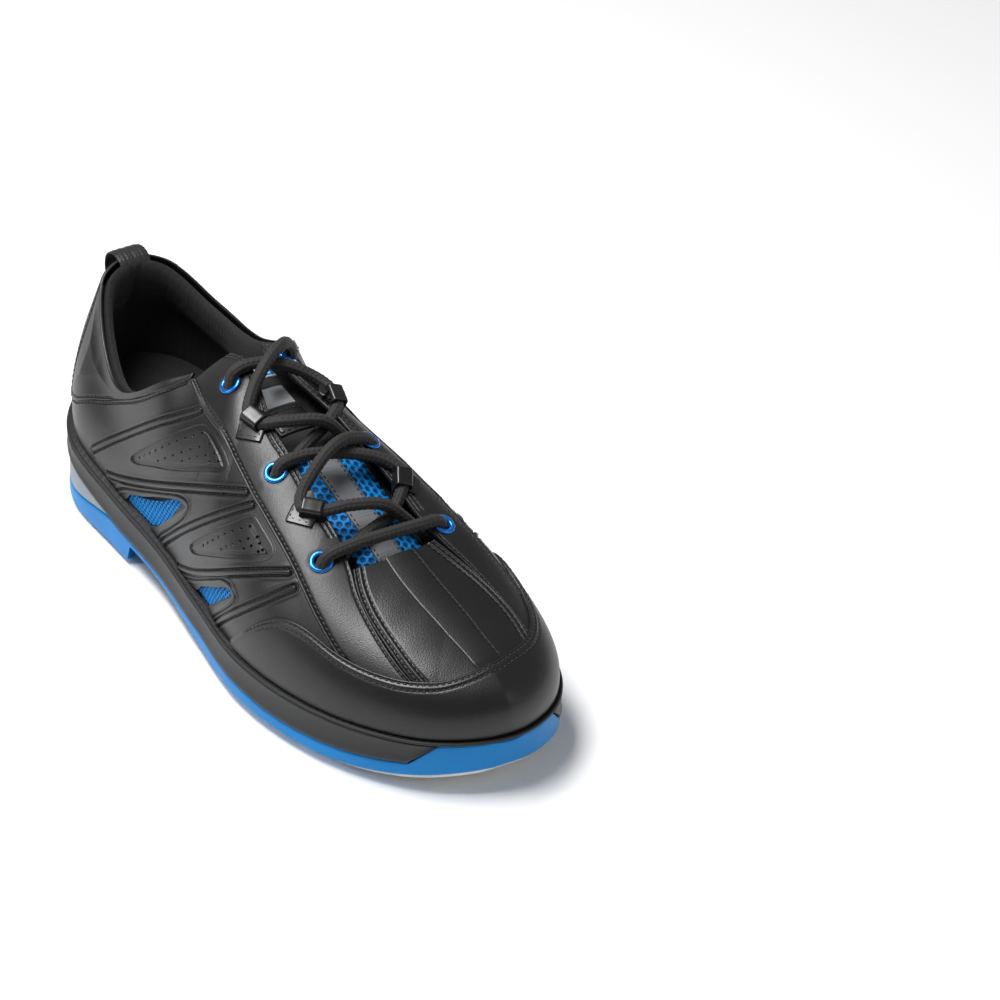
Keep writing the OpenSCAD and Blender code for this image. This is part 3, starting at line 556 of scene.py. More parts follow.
STAY_LOW = [[0, 0.434, 0.9], [0.5, 0.449, 0.795], [1, 0.467, 0.693], [1.5, 0.491, 0.614],
            [2, 0.526, 0.567], [3, 0.578, 0.543], [4, 0.625, 0.517], [5, 0.667, 0.484],
            [5.5, 0.696, 0.44], [6, 0.729, 0.376], [7, 0.788, 0.272], [8, 0.86, 0.272]]
STAY_HIGH = [[0, 0.48, 0.96], [1, 0.53, 0.89], [2, 0.58, 0.82], [3, 0.62, 0.8], [4, 0.66, 0.78],
             [5, 0.72, 0.752], [5.5, 0.75, 0.695], [6, 0.77, 0.63], [7, 0.815, 0.525], [8, 0.878, 0.36]]
COLLAR_LOW = [[0, 0.152, 0.13], [0.3, 0.178, 0.2], [0.6, 0.2, 0.295], [0.8, 0.222, 0.45], [1, 0.244, 0.615],
              [2, 0.278, 0.83], [2.5, 0.312, 0.918], [3, 0.37, 0.93], [4, 0.434, 0.918]]
COLLAR_HIGH = [[0, 0.106, 0.985], [1, 0.2, 0.985], [2, 0.3, 0.985], [3, 0.36, 0.985], [3.6, 0.405, 0.985],
               [4, 0.436, 0.95]]
STAY_BACK_LOW = counted([[-0.154, 0.12], [-0.1, 0.105], [0, 0.1], [0.1, 0.105], [0.154, 0.12]])
STAY_BACK_HIGH = counted([[-0.109, 0.985], [-0.05, 0.985], [0, 0.985], [0.05, 0.985], [0.109, 0.985]])
BUMPER_HIGH = counted([
    [0.59, 0.03], [0.64, 0.18], [0.68, 0.28], [0.72, 0.32], [0.77, 0.32], [0.82, 0.34], [0.86, 0.38],
    [0.9, 0.46], [0.93, 0.56], [0.96, 0.69], [0.98, 0.79], [1, 0.88], [1.02, 0.79], [1.04, 0.72],
    [1.07, 0.63], [1.1, 0.54], [1.14, 0.44], [1.18, 0.38], [1.23, 0.34], [1.28, 0.32], [1.32, 0.28],
    [1.36, 0.18], [1.41, 0.03]])
BUMPER_LOW = [[k[0], k[1], 0] for k in BUMPER_HIGH]
VAMP_LOW = {1: counted([[0.75, 0.7], [0.764, 0.64], [0.784, 0.585], [0.806, 0.54], [0.83, 0.485],
                        [0.87, 0.37]]),
            -1: counted([[0.75, 0.735], [0.765, 0.665], [0.783, 0.59], [0.802, 0.53], [0.826, 0.465],
                         [0.868, 0.375]])}
VAMP_HIGH = {1: counted([[0.79, 0.905], [0.815, 0.89], [0.852, 0.877], [0.899, 0.863], [0.94, 0.823],
                         [0.966, 0.73], [0.985, 0.63]]),
             -1: counted([[0.786, 0.893], [0.812, 0.877], [0.844, 0.85], [0.883, 0.797], [0.915, 0.74],
                          [0.94, 0.62], [0.962, 0.51]])}
# Raised welted seams of the quarter, its stitched window borders and its punched triangles
WELTS = [
    [[0.255, 0.1], [0.268, 0.23], [0.29, 0.4], [0.32, 0.59], [0.362, 0.7], [0.402, 0.74], [0.436, 0.73],
     [0.462, 0.705]],
    [[0.286, 0.05], [0.312, 0.13], [0.341, 0.215], [0.383, 0.315], [0.44, 0.365], [0.506, 0.39],
     [0.545, 0.455], [0.577, 0.54]],
    [[0.405, 0.01], [0.42, 0.08], [0.45, 0.17], [0.499, 0.265], [0.539, 0.365], [0.57, 0.45],
     [0.592, 0.52]],
    [[0.445, 0], [0.469, 0.04], [0.503, 0.095], [0.524, 0.13], [0.565, 0.22], [0.611, 0.31],
     [0.672, 0.45]],
    [[0.547, 0], [0.573, 0.075], [0.598, 0.14], [0.634, 0.245], [0.665, 0.34], [0.686, 0.42]]]
WINDOW_BORDERS = [
    [[0.303, 0], [0.325, 0.1], [0.35, 0.18], [0.388, 0.27], [0.425, 0.32], [0.455, 0.325], [0.471, 0.3],
     [0.462, 0.25], [0.432, 0.165], [0.405, 0.07], [0.392, 0]],
    [[0.464, 0], [0.5, 0.065], [0.54, 0.145], [0.565, 0.195], [0.585, 0.21], [0.595, 0.185],
     [0.581, 0.13], [0.557, 0.06], [0.536, 0]]]
# Each punched panel: its outline, then its rows of holes as first spot, last spot and count
TRIANGLES = [
    ([[0.34, 0.405], [0.343, 0.43], [0.366, 0.53], [0.4, 0.608], [0.429, 0.634], [0.454, 0.628],
      [0.472, 0.616], [0.482, 0.598], [0.505, 0.548], [0.522, 0.522], [0.529, 0.508], [0.526, 0.492],
      [0.512, 0.468], [0.488, 0.448], [0.46, 0.449], [0.417, 0.461], [0.382, 0.448], [0.352, 0.412]],
     [([0.358, 0.46], [0.476, 0.588], 10), ([0.397, 0.488], [0.495, 0.54], 7),
      ([0.447, 0.488], [0.508, 0.517], 5), ([0.503, 0.482], [0.518, 0.503], 2)]),
    ([[0.482, 0.15], [0.486, 0.17], [0.512, 0.232], [0.537, 0.298], [0.564, 0.378], [0.583, 0.438],
      [0.593, 0.464], [0.601, 0.472], [0.613, 0.465], [0.632, 0.453], [0.637, 0.44], [0.634, 0.422],
      [0.623, 0.395], [0.591, 0.33], [0.543, 0.235], [0.507, 0.172], [0.488, 0.15]],
     [([0.515, 0.213], [0.599, 0.453], 8), ([0.556, 0.28], [0.614, 0.447], 6),
      ([0.598, 0.37], [0.621, 0.438], 3), ([0.622, 0.41], [0.628, 0.43], 2)])]
EYELETS = [[0.5, 0.79], [0.61, 0.69], [0.71, 0.6], [-0.48, 0.85], [-0.61, 0.72], [-0.715, 0.63]]
TOP_LIFT = GAP + LEATHER
STITCH_LIFT = TOP_LIFT - 0.1
CHANNEL_DEPTH, CHANNEL_WIDTH = 0.4, 0.5
# Distance of a welted seam's two rows of stitches from its ridge, and its finer thread
SEAM_ROW = 1.45
SEAM_THREAD = dict(pitch=2.4, long=1.5, r=0.24)
PUNCH_R = 0.62
# Radius cut out for an eyelet, and where the leather starts to dip towards it
EYELET_CUT, EYELET_DIP = 2.9, 3.6
CAP_UNDERSIDE = 1.55


def shifted(line, out, d):
    """The line moved sideways on its surface, up the wall for a positive d on the outer side."""
    return line + np.cross(out, unit(np.gradient(line, axis=0))) * d


def stitched_edge(p, edge, inset, relief, lift, first=0.0, last=1.0):
    """A row of stitches in a shallow channel at a distance in from a panel's edge."""
    line, out = p.beside(edge, inset, lift, first, last)
    away = p.from_low if edge == "low" else p.from_high
    share = (p.s - p.s[0]) / (p.s[-1] - p.s[0])
    on = ((share >= first) & (share <= last))[:, None]
    relief -= CHANNEL_DEPTH * hump(away - inset, CHANNEL_WIDTH) * on
    stitch(line, out)


def quarter(side):
    """Side panel with its welted seams, window borders and punched triangles."""
    p = Panel(QUARTER_LOW, QUARTER_HIGH, 0.3, side)
    flat = p.mid.reshape(-1, 3)
    shape = p.mid.shape[:2]
    relief = np.zeros(shape)
    shade_tone = np.ones(shape)
    for keys in WELTS:
        # A rolled seam: a rounded ridge between two sunk, stitched grooves
        line, out = laid(fair(line_on(keys, side)[0]), p.mid)
        d = distance_to(flat, line).reshape(shape)
        relief += 0.75 * hump(d, 1.0) - 0.75 * hump(d - SEAM_ROW, 0.42) + 0.2 * hump(d - 2.6, 0.8)
        # Painted shade in the sunk, stitched grooves beside the ridge
        shade_tone -= 0.9 * hump(d - SEAM_ROW, 0.4)
        for way in (-1, 1):
            stitch(shifted(line, out, SEAM_ROW * way) + out * (STITCH_LIFT - 0.5), out, **SEAM_THREAD)
    for keys in WINDOW_BORDERS:
        line, out = line_on(keys, side)
        d = distance_to(flat, line).reshape(shape)
        relief += 0.25 * hump(d - 1.2, 0.7) - 0.6 * hump(d, 0.42)
        # Painted shade along the sunk border line
        shade_tone -= 0.8 * hump(d, 0.4)
        stitch(line + out * (STITCH_LIFT - 0.25), out, **SEAM_THREAD)
    for outline, rows in TRIANGLES:
        # A pressed panel that stands proud inside its groove, with punched holes
        closed = outline + outline[:1]
        d = distance_to(flat, line_on(closed, side)[0], 9).reshape(shape)
        within = inside_of(p.at[..., 0] * side, p.at[..., 1], dense(closed))
        relief += np.where(within, 0.55 * (1 - np.exp(-d / 0.8)), 0) - 0.6 * hump(d, 0.5)
        relief += np.where(within, 0, 0.2 * hump(d - 1.0, 0.8))
        # Painted shade in the groove round the pressed panel
        shade_tone -= 0.7 * hump(d, 0.45)
        for first, last, count in rows:
            ends = [wall_spot(a * side, v)[0] for a, v in (first, last)]
            for hole in laid(np.linspace(*ends, count), p.mid)[0]:
                r = np.linalg.norm(p.mid - hole, axis=-1)
                relief -= 1.2 * np.clip((PUNCH_R - r) / 0.2, 0, 1)
                # Painted shade in and round each punched hole
                shade_tone -= np.clip((0.75 - r) / 0.15, 0, 1)
    stitched_edge(p, "high", 1.6, relief, STITCH_LIFT, 0.15, 0.4)
    piece(sided("quarter", side), p.parts(GAP, TOP_LIFT, relief, np.clip(shade_tone, 0, 1)), "upper_leather")


def eyestay(side):
    """Facing with three eyelet holes."""
    p = Panel(STAY_LOW, STAY_HIGH, 0.45, side)
    relief = 0.5 * hump(p.from_low - 0.85, 0.6) - 0.45 * hump(p.from_low - 1.9, 0.42)
    stitched_edge(p, "low", 2.2, relief, STITCH_LIFT + 0.05)
    for inset in (1.5, 3.4):
        stitched_edge(p, "high", inset, relief, STITCH_LIFT + 0.15, 0.0, 0.62)
    stitched_edge(p, "high", 1.5, relief, STITCH_LIFT + 0.15, 0.64, 1.0)
    keep = np.ones(p.mid.shape[:2], bool)
    for a, v in EYELETS:
        if a * side > 0:
            r = np.linalg.norm(p.mid - wall_spot(a, v)[0], axis=-1)
            keep &= r > EYELET_CUT
            relief -= 0.35 * hump(np.clip(r - EYELET_DIP, 0, None), 1.6)
    face, *others = p.parts(GAP + 0.1, TOP_LIFT + 0.3, relief)
    piece(sided("eyestay", side), [kept(face, keep), *others], "stay_leather")


def vamp(side):
    """Leather over the forefoot, beside the centre strip."""
    p = Panel(VAMP_LOW[side], VAMP_HIGH[side], 0.45, side)
    relief = 0.4 * hump(p.from_low - 0.7, 0.6) + 0.3 * hump(p.from_low - 2.9, 0.7)
    stitched_edge(p, "low", 1.7, relief, STITCH_LIFT + 0.3)
    stitched_edge(p, "low", 4.1, relief, STITCH_LIFT + 0.3)
    # Soft creases where the foot bends, across the vamp
    crease = np.sin(p.mid[..., 0] * 0.42 + 0.05 * p.mid[..., 1]) * 0.05 * np.clip(p.border / 8, 0, 1)
    piece(sided("vamp", side), p.parts(GAP + 0.25, TOP_LIFT + 0.3, relief + crease), "upper_leather")


def vamp_strip():
    """Centre strip of the forefoot."""
    rows, cols = 150, 44
    s = np.linspace(-0.12, 6, rows)
    # It laps over both vamp panels and dives under the toe cap
    lift = (TOP_LIFT + 0.25 - 1.6 * np.clip((s - 4.7) / 1.3, 0, 1))[:, None]
    a, b = (on_wall(through([k[1:] for k in VAMP_HIGH[side]], s) * [side, 1] - [0, 0.02], lift)[0]
            for side in (1, -1))
    width = np.linalg.norm(b - a, axis=1)[:, None]
    c = spaced(1.0, 1 / cols, (0, 0.004, 0.012, 0.03, 0.05))[None]
    edge = np.minimum(c, 1 - c) * width
    height = 0.7 * (0.2 + 0.8 * rounded(edge, 0.8)) + 2.6 * c * (1 - c)
    height = height - 0.25 * hump((1 - c) * width - 2.4, 0.5)
    base = a[:, None] * (1 - c[..., None]) + b[:, None] * c[..., None]
    face = base + np.array([0, 0, 1.0]) * height[..., None]
    under = [200, 5, 0]
    piece("vamp_strip", [shell(face, under), skirt(face.mean((0, 1)), face, base),
                         turned(shell(base[::6, ::4], under))], "upper_leather")
    up = np.tile([0.1, 0, 1.0], (rows, 1))
    share = 1 - 2.4 / width[:, 0]
    line = a + (b - a) * share[:, None] + up * (0.62 + 2.6 * share * (1 - share))[:, None]
    stitch(line[3:118], up[3:118])


def bumper():
    """Toe cap with two rows of stitches."""
    p = Panel(BUMPER_LOW, BUMPER_HIGH, 0.6)
    relief = 0.3 * hump(p.from_high - 2.5, 1.3) * (p.from_low > 4)
    top = CAP_UNDERSIDE + LEATHER
    for inset, end in ((1.5, 0.03), (3.6, 0.05)):
        stitched_edge(p, "high", inset, relief, top - 0.1, end, 1 - end)
    piece("toe_bumper", p.parts(CAP_UNDERSIDE, top, relief), "upper_leather")


def collar(side):
    """Softly padded leather at the ankle."""
    p = Panel(COLLAR_LOW, COLLAR_HIGH, 0.55, side)
    relief = 0.3 * hump(p.from_low - 0.9, 0.8)
    stitched_edge(p, "low", 1.8, relief, STITCH_LIFT + 0.25, 0.0, 0.6)
    relief += 0.8 * np.clip(p.border / 12, 0, 1) ** 2
    piece(sided("collar", side), p.parts(GAP + 0.3, TOP_LIFT + 0.25, relief), "upper_leather")


def back_stay():
    """Leather strip up the heel, sewn down both sides."""
    p = Panel(STAY_BACK_LOW, STAY_BACK_HIGH, 0.6)
    relief = 0.25 * hump(p.from_low - 1.0, 0.8)
    stitched_edge(p, "low", 1.8, relief, STITCH_LIFT)
    relief -= 0.26 * hump(p.from_ends - 1.8, 0.5)
    for share in (0.025, 0.975):
        s = p.s[0] + (p.s[-1] - p.s[0]) * share
        stitch(*on_wall(p.spot(s, np.linspace(0.04, 0.97, 60)), STITCH_LIFT + 0.5))
    piece("back_stay", p.parts(GAP + 0.5, TOP_LIFT + 0.5, relief), "upper_leather")


# Cell and strand widths of the open nets on the tongue and behind the windows
TONGUE_NET = (3.3, 0.95)
WINDOW_NET = (2.6, 0.7)


def hex_hole(x, y, cell, strand):
    """1 inside the open six-sided cells of a net and 0 on its strands."""
    row = cell * math.sqrt(3) / 2
    best = np.full(x.shape, 9.0)
    for k in (-1, 0, 1):
        j = np.round(y / row) + k
        shift = 0.5 * (j % 2)
        i = np.round(x / cell - shift) + shift
        dx, dy = np.abs(x - i * cell), np.abs(y - j * row)
        best = np.minimum(best, np.maximum(dx, dx / 2 + dy * math.sqrt(3) / 2))
    return np.clip((cell / 2 - strand / 2 - best) / 0.3, 0, 1)


# Low and high edges of the knit behind the quarter's two windows
KNIT = {"rear": ([[0, 0.3, 0.005], [1, 0.425, 0.005]], [[0, 0.445, 0.345], [1, 0.505, 0.345]]),
        "front": ([[0, 0.45, 0.005], [1, 0.56, 0.005]], [[0, 0.56, 0.235], [1, 0.605, 0.235]])}


def knit(which, side):
    """Net behind one window; its cells are a little flattened."""
    p = Panel(*KNIT[which], 0.33, side)
    hole = hex_hole(p.mid[..., 0], p.mid[..., 2] * 1.15, *WINDOW_NET)
    # The open cells are painted darker: partly the dark backing seen through the net, partly painted shade in
    # the cells
    piece(sided(f"mesh_{which}", side), p.parts(-0.8, -0.1, 0.35 - 0.8 * hole, 1 - hole), "mesh_blue")


for side in (1, -1):
    quarter(side)
    eyestay(side)
    vamp(side)
    collar(side)
    for which in KNIT:
        knit(which, side)
vamp_strip()
bumper()
back_stay()


# ---------------------------------------------------------------- eyelets, loops, pull tab
def lathe(profile, centre, axis, sides=48):
    """Turned ring from rows of radius and height, closed on itself."""
    n = unit(np.asarray(axis, float))
    u = unit(np.cross(n, [0.3, 0.9, 0.2]))
    w = np.cross(n, u)
    q = np.linspace(0, 2 * math.pi, sides + 1)[:-1]
    ring = np.cos(q)[:, None] * u + np.sin(q)[:, None] * w
    prof = np.asarray(profile + profile[:1], float)
    co = centre + ring[:, None] * prof[None, :, :1] + n * prof[None, :, 1:]
    return shell(co, co.reshape(-1, 3).mean(0), closed=True)


LACE_D = 4.8
HOLE_R = LACE_D / 2 + 0.3
rim_round = [[HOLE_R + 1.1 + 1.1 * math.cos(q), 0.15 + 0.85 * math.sin(q)]
             for q in np.linspace(0, math.pi, 13)]
barrel = [[HOLE_R + 0.35, -2.0], [HOLE_R + 0.5, -2.0], [HOLE_R + 0.5, -0.05]]
eyelet = barrel + rim_round + [[HOLE_R, -2.0]]
piece("eyelets", [lathe(eyelet, *wall_spot(*e, TOP_LIFT)) for e in EYELETS], "eyelet_metal")

# The lace's whole route, from one end inside the shoe to the other
LACE = [[80, -22, 46], [94, -25, 54], [107, -27, 65], [117, -25.5, 77], [123, -21, 86.5],
        [127, -18, 93.2], [128, -16, 99], [127, -13.5, 105], [128, -5, 107.2], [132, 7, 105.2],
        [139, 16.5, 100.5], [147, 20.5, 97], [154, 19, 94.5], [161, 10, 92.5], [166, -3, 88.5],
        [170, -13, 84], [173, -19, 80], [174, -20.5, 85], [174, -18, 90], [176, -7, 91.5],
        [180, 8, 89.5], [186, 20, 86.3], [193, 25.5, 82.3], [199, 22, 79], [205, 13, 73],
        [209, -1, 70.5], [212, -14, 65.5], [215, -22, 62.5], [216, -25, 67], [216, -22, 71.8],
        [217, -10, 74], [218, 4, 74.5], [218, 18, 73.8], [217, 27, 72.3], [216, 30, 67], [214, 27, 63],
        [211, 19.5, 69.5], [207, 9, 80], [203, -4, 82], [199, -15, 80.5], [194, -20.8, 81.2],
        [188, -17, 84.8], [183, -5, 93.4], [179, 6, 95.6], [176, 17, 91.5], [174, 23.5, 85],
        [172, 23, 81.5], [168.5, 15, 87], [165, 6, 97], [159, -8, 98], [153, -16.5, 96.3],
        [147, -18.2, 97.8], [140, -12, 103.5], [134, -2, 110.5], [127, 9, 111.5], [120, 16, 105.5],
        [118, 18.5, 98.5], [117.5, 18.8, 92.5], [116, 20.5, 86], [111, 24.5, 76], [103, 26, 64],
        [92, 25.5, 54], [79, 23, 46]]
# The straps: the key of LACE where each begins, and the spot on the wall it is sewn to
LOOPS = [[11, -0.545, 0.81], [22, -0.665, 0.77], [39, 0.665, 0.76], [50, 0.555, 0.8]]


def rings_along(path):
    """Directions along a path and a pair of side directions that do not twist."""
    d = unit(np.gradient(path, axis=0))
    u = np.zeros_like(d)
    u[0] = unit(np.cross(d[0], [0, 0, 1]))
    for i in range(1, len(d)):
        u[i] = unit(u[i - 1] - d[i] * (u[i - 1] @ d[i]))
    return d, u, np.cross(d, u)


def by_length(keys, step):
    """Evenly spaced points of the smooth line through the keys, and the length up to each."""
    fine = through(keys, np.linspace(0, len(keys) - 1, len(keys) * 60))
    run = run_of(fine)
    where = np.linspace(0, run[-1], int(run[-1] / step))
    return along(fine, run, where), where


def lace():
    """Braided tube: eight columns of strands that slant one way and the other, as a herringbone."""
    path, at = by_length(LACE, 0.5)
    _, u, w = rings_along(path)
    columns, per_column = 8, 5
    q = np.arange(columns * per_column + 1) / (columns * per_column)
    column = np.floor(q * columns - 1e-9)
    inside = q * columns - column - 0.5
    slant = np.where(column % 2 == 0, 1, -1)
    pitch = 2.1
    phase = at[:, None] / pitch + slant * inside * 0.75
    strand = np.abs(np.sin(math.pi * phase)) ** 0.7
    groove = np.exp(-((0.5 - np.abs(inside)) / 0.1) ** 2)
    r = LACE_D / 2 - 0.12 + 0.34 * strand * (1 - 0.7 * groove) - 0.12 * groove
    turn = 2 * math.pi * q[None, :, None]
    ring = np.cos(turn) * u[:, None] + np.sin(turn) * w[:, None]
    co = path[:, None] + ring * r[..., None]
    for end in (0, -1):
        co[end] = path[end]
    # Painted shade: darker between the strands and in the grooves between the columns
    shade_tone = np.clip(0.35 + 0.65 * strand - 0.3 * groove, 0, 1) + 0 * r
    return piece("lace", [shell(co, [150, 0, 90], shade_tone)], "lace_cloth"), path


def aglets():
    """The two tips of the lace."""
    parts = []
    for tip, nxt in ((LACE[0], LACE[1]), (LACE[-1], LACE[-2])):
        tip = np.asarray(tip, float)
        r, end = LACE_D / 2 - 0.3, 18.0
        profile = [[0.02, 0.2], [r, 0.2], [r + 0.12, 0.8], [r, 1.6], [r, end - 1.4], [r - 0.3, end - 0.6],
                   [r - 1.0, end], [0.02, end]]
        parts.append(lathe(profile, tip, unit(tip - nxt), 32))
    return piece("aglets", parts, "tip_plastic")


def loops():
    """Folded straps that hold the lace: a rounded square sleeve with bevelled mouths."""
    inner, thick, half = (LACE_D + 0.8) / 2, 0.9, 5.0
    parts = []
    for at, a, v in LOOPS:
        start, end = np.array(LACE[at:at + 2], float)
        foot, foot_out = wall_spot(a, v)
        run = unit(end - start)
        side = unit(np.cross(foot_out, run))
        up = np.cross(run, side)
        middle = (start + end) / 2
        q = np.linspace(0, 2 * math.pi, 65)[:-1]
        corner = (np.abs(np.cos(q)) ** 5 + np.abs(np.sin(q)) ** 5) ** -0.2
        x = np.array([-1, -0.985, -0.95, -0.8, -0.4, 0, 0.4, 0.8, 0.95, 0.985, 1])
        lip = np.array([0.5, 0.8, 1, 1, 1, 1, 1, 1, 1, 0.8, 0.5])
        outer = np.stack([x * half, inner + thick / 2 + thick / 2 * lip], -1)
        inside = np.stack([x[::-1] * half, inner + thick / 2 - thick / 2 * lip[::-1]], -1)
        prof = np.vstack([outer, inside, outer[:1]])
        spread = corner[:, None] * prof[None, :, 1]
        cx, cy = np.cos(q)[:, None] * spread, np.sin(q)[:, None] * spread
        taper = 1 - 0.16 * (cy / inner + 1) / 2
        ribs = 1 + 0.012 * np.cos(prof[None, :, 0] * 7)
        co = (middle + side * (cx * ribs)[..., None] + up * (cy * ribs)[..., None]
              + run * (prof[None, :, 0] * taper)[..., None])
        parts.append(shell(co, middle, closed=True))
        # The strap's tail, sewn down on the eyestay below the fold
        k = np.linspace(0, 1, 24)
        rise = (1 - k)[:, None] ** 2
        spots, out = on_wall(np.column_stack([0 * k + a, v + 0.03 - 0.16 * k]), TOP_LIFT + 0.75 + 2.6 * rise)
        spots = spots + (middle - foot - out[0] * 3) * rise
        way = unit(np.cross(out, unit(np.gradient(spots, axis=0))))
        parts += strap(spots, out, way, 5.6, 1.3)
        thread = dict(pitch=2.2, long=1.4, r=0.2)
        row_at, above = 4.3, 0.62
        for inset in (-row_at, row_at):
            stitch((spots + way * inset + out * above)[8:-2], out[8:-2], **thread)
        row = spots[-3] + way[-3] * np.linspace(-row_at, row_at, 12)[:, None] + out[-3] * above
        stitch(row, np.tile(out[-3], (12, 1)), **thread)
    piece("lace_loops", parts, "strap_leather")


def strap(spots, normal, way, half, thick, rib=0.0):
    """Parts of a flat strap along a line: way is across it, with rounded edges and woven ribs."""
    cols = 26
    c = np.cos(np.linspace(math.pi, 0, cols))
    edge = np.sqrt(np.clip(1 - c**4, 0, 1)) * 0.8 + 0.2 * (np.abs(c) < 0.999)
    wave = rib * np.cos(c * half * 2 * math.pi / 1.1) * (np.abs(c) < 0.9)
    flat = spots[:, None] + way[:, None] * (c * half)[None, :, None]
    rise = normal[:, None] * (thick / 2 * edge + wave)[None, :, None]
    top, low = flat + rise, flat - rise
    loop = np.concatenate([top, low[:, ::-1], top[:, :1]], 1)
    caps = [np.stack([top[i], low[i]], 0) for i in (0, -1)]
    return [shell(part, loop.mean((0, 1))) for part in (loop, *caps)]


# The heel loop seen from the side: x and height
TAB = [[6.5, 79], [3.8, 85.5], [3.3, 91], [5.2, 95.6], [9.4, 98], [14.2, 98], [17.8, 95.2], [18, 89]]
tab_s = np.linspace(0, len(TAB) - 1, 90)
tab_xy = through(TAB, tab_s)
tab_d = unit(np.gradient(tab_xy, axis=0))
tab_line = np.insert(tab_xy, 1, 2.0, axis=1)
tab_out = np.column_stack([-tab_d[:, 1], 0 * tab_s, tab_d[:, 0]])
tab_way = np.tile([0, 1.0, 0], (len(tab_s), 1))
piece("pull_tab", strap(tab_line, tab_out, tab_way, 7, 1.2, rib=0.08), "webbing")
loops()
piece("stitching", THREADS, "thread")


# ---------------------------------------------------------------- collar lining, vamp lining, insole
# Thickness of the collar's padding where it is fullest, and of lining cloth
PAD = 3.4
LINING = 2.0
INSOLE_INSET = 9.4


def puff(a, v):
    """How full the collar's padding is: 0 low down, at the rim and in front."""
    up = np.clip((v - 0.45) / 0.25, 0, 1)
    down = np.clip((0.985 - v) / 0.12, 0, 1)
    ends = np.clip((0.4 - stage_of(a)) / 0.1, 0, 1)
    return up * up * (3 - 2 * up) * np.sqrt(down) * ends


FILL_PRESSURE = 3.0
FILL_FRAMES = 20


def swell(obj, pinned, cap):
    """Cloth simulation that fills a closed mesh like a pad; each point moves no further than cap metres."""
    rest = np.array([v.co for v in obj.data.vertices], float)
    group = obj.vertex_groups.new(name="pin")
    group.add([int(i) for i in np.flatnonzero(pinned)], 1.0, "REPLACE")
    cloth = obj.modifiers.new("Cloth", "CLOTH")
    cloth.settings.quality = 5
    cloth.settings.mass = 0.25
    cloth.settings.tension_stiffness = 12
    cloth.settings.bending_stiffness = 0.4
    cloth.settings.use_pressure = True
    cloth.settings.uniform_pressure_force = FILL_PRESSURE
    cloth.settings.effector_weights.gravity = 0
    cloth.settings.vertex_group_mass = "pin"
    scene = bpy.context.scene
    for f in range(1, FILL_FRAMES + 1):
        scene.frame_set(f)
    graph = bpy.context.evaluated_depsgraph_get()
    made = obj.evaluated_get(graph).to_mesh()
    moved = np.array([v.co for v in made.vertices], float)
    obj.evaluated_get(graph).to_mesh_clear()
    obj.modifiers.remove(cloth)
    scene.frame_set(1)
    step = moved - rest
    far = np.linalg.norm(step, axis=1)
    step *= (cap * np.tanh(far / cap) / np.maximum(far, 1e-9))[:, None]
    step[pinned] = 0
    obj.data.vertices.foreach_set("co", (rest + step).astype(np.float32).ravel())
    obj.data.update()
    return obj


def smooth(obj):
    sub = obj.modifiers.new("Subdivision", "SUBSURF")
    sub.levels = sub.render_levels = 1
    return obj


def collar_lining():
    """Padded ankle collar: one closed shell with a soft rolled top."""
    a = np.linspace(-0.5, 0.5, 240)
    t = stage_of(a)
    top = np.where(t < 0.4, 0.987, 0.987 - (t - 0.4) * 3.2)
    f = np.concatenate([np.linspace(0, 0.93, 26), [0.95, 0.965, 0.978, 0.988, 0.995, 0.999, 1.0]])
    v = 0.01 + (top[:, None] - 0.01) * f[None]
    u = np.clip((v - (top[:, None] - 0.05)) / 0.05, 0, 1)
    thick = LINING + PAD * puff(a[:, None], v)
    c = np.sqrt(np.clip(1 - u**2, 0, 1))
    base, out = on_wall(np.stack([a[:, None] + 0 * v, v], -1))
    outer = base + out * (-1 - thick / 2 * (1 - c))[..., None]
    inner = base + out * (-1 - thick + thick / 2 * (1 - c))[..., None]
    loop = np.concatenate([outer, inner[:, ::-1][:, 1:], outer[:, :1]], 1)
    ends = [np.stack([outer[i], inner[i]], 0) for i in (0, -1)]
    obj = piece("collar_lining", [shell(loop, [90, 2, 60])] + [sheet_part(e) for e in ends], "lining_cloth")
    # Only the inner face may swell
    n = len(f)
    pinned = np.ones(loop.shape[:2], bool)
    pinned[4:-4, n + 2:n + 20] = False
    flat = np.concatenate([pinned.ravel(), np.ones(4 * n, bool)])
    return smooth(swell(obj, flat, cap=0.0008))


def vamp_lining():
    """Lining of the forefoot, the same on both sides of the toe."""
    edge = [[0.508, 0.66], [0.58, 0.53], [0.66, 0.46], [0.72, 0.43], [0.76, 0.5], [0.8, 0.78],
            [0.83, 0.93], [0.9, 0.95], [1, 0.95]]
    both = edge + [[2 - k[0], k[1]] for k in edge[-2::-1]]
    p = Panel([[i, k[0], 0.01] for i, k in enumerate(both)], counted(both), 2.2)
    piece("vamp_lining", p.parts(-1 - LINING, -1), "lining_cloth")


def slab(t, c, inset, z_low, z_high, r, low_shade_tone=None):
    """Closed slab across the sole: t and c are grids of station and share across, z the two faces."""
    low, high = across(t, c, inset, z_low), across(t, c, inset, z_high)
    width = np.linalg.norm(high[:, 0] - high[:, -1], axis=1)[:, None]
    run = run_of(high[:, high.shape[1] // 2])
    d = np.minimum(np.minimum(c, 1 - c) * width, np.minimum(run, run[-1] - run)[:, None])
    down = np.minimum(r * (1 - rounded(d, r)), (high[..., 2] - low[..., 2]) * 0.42)
    high[..., 2] -= down
    low[..., 2] += down
    middle = (high.mean((0, 1)) + low.mean((0, 1))) / 2
    return [shell(high, middle), shell(low, middle, low_shade_tone),
            skirt(middle, high, high * 0.5 + low * 0.5, low)]


def shares(n, width=90.0):
    """Shares across the sole, closer together at its two edges."""
    return spaced(width, width / n, (0, 0.12, 0.35, 0.7, 1.2, 2.0))


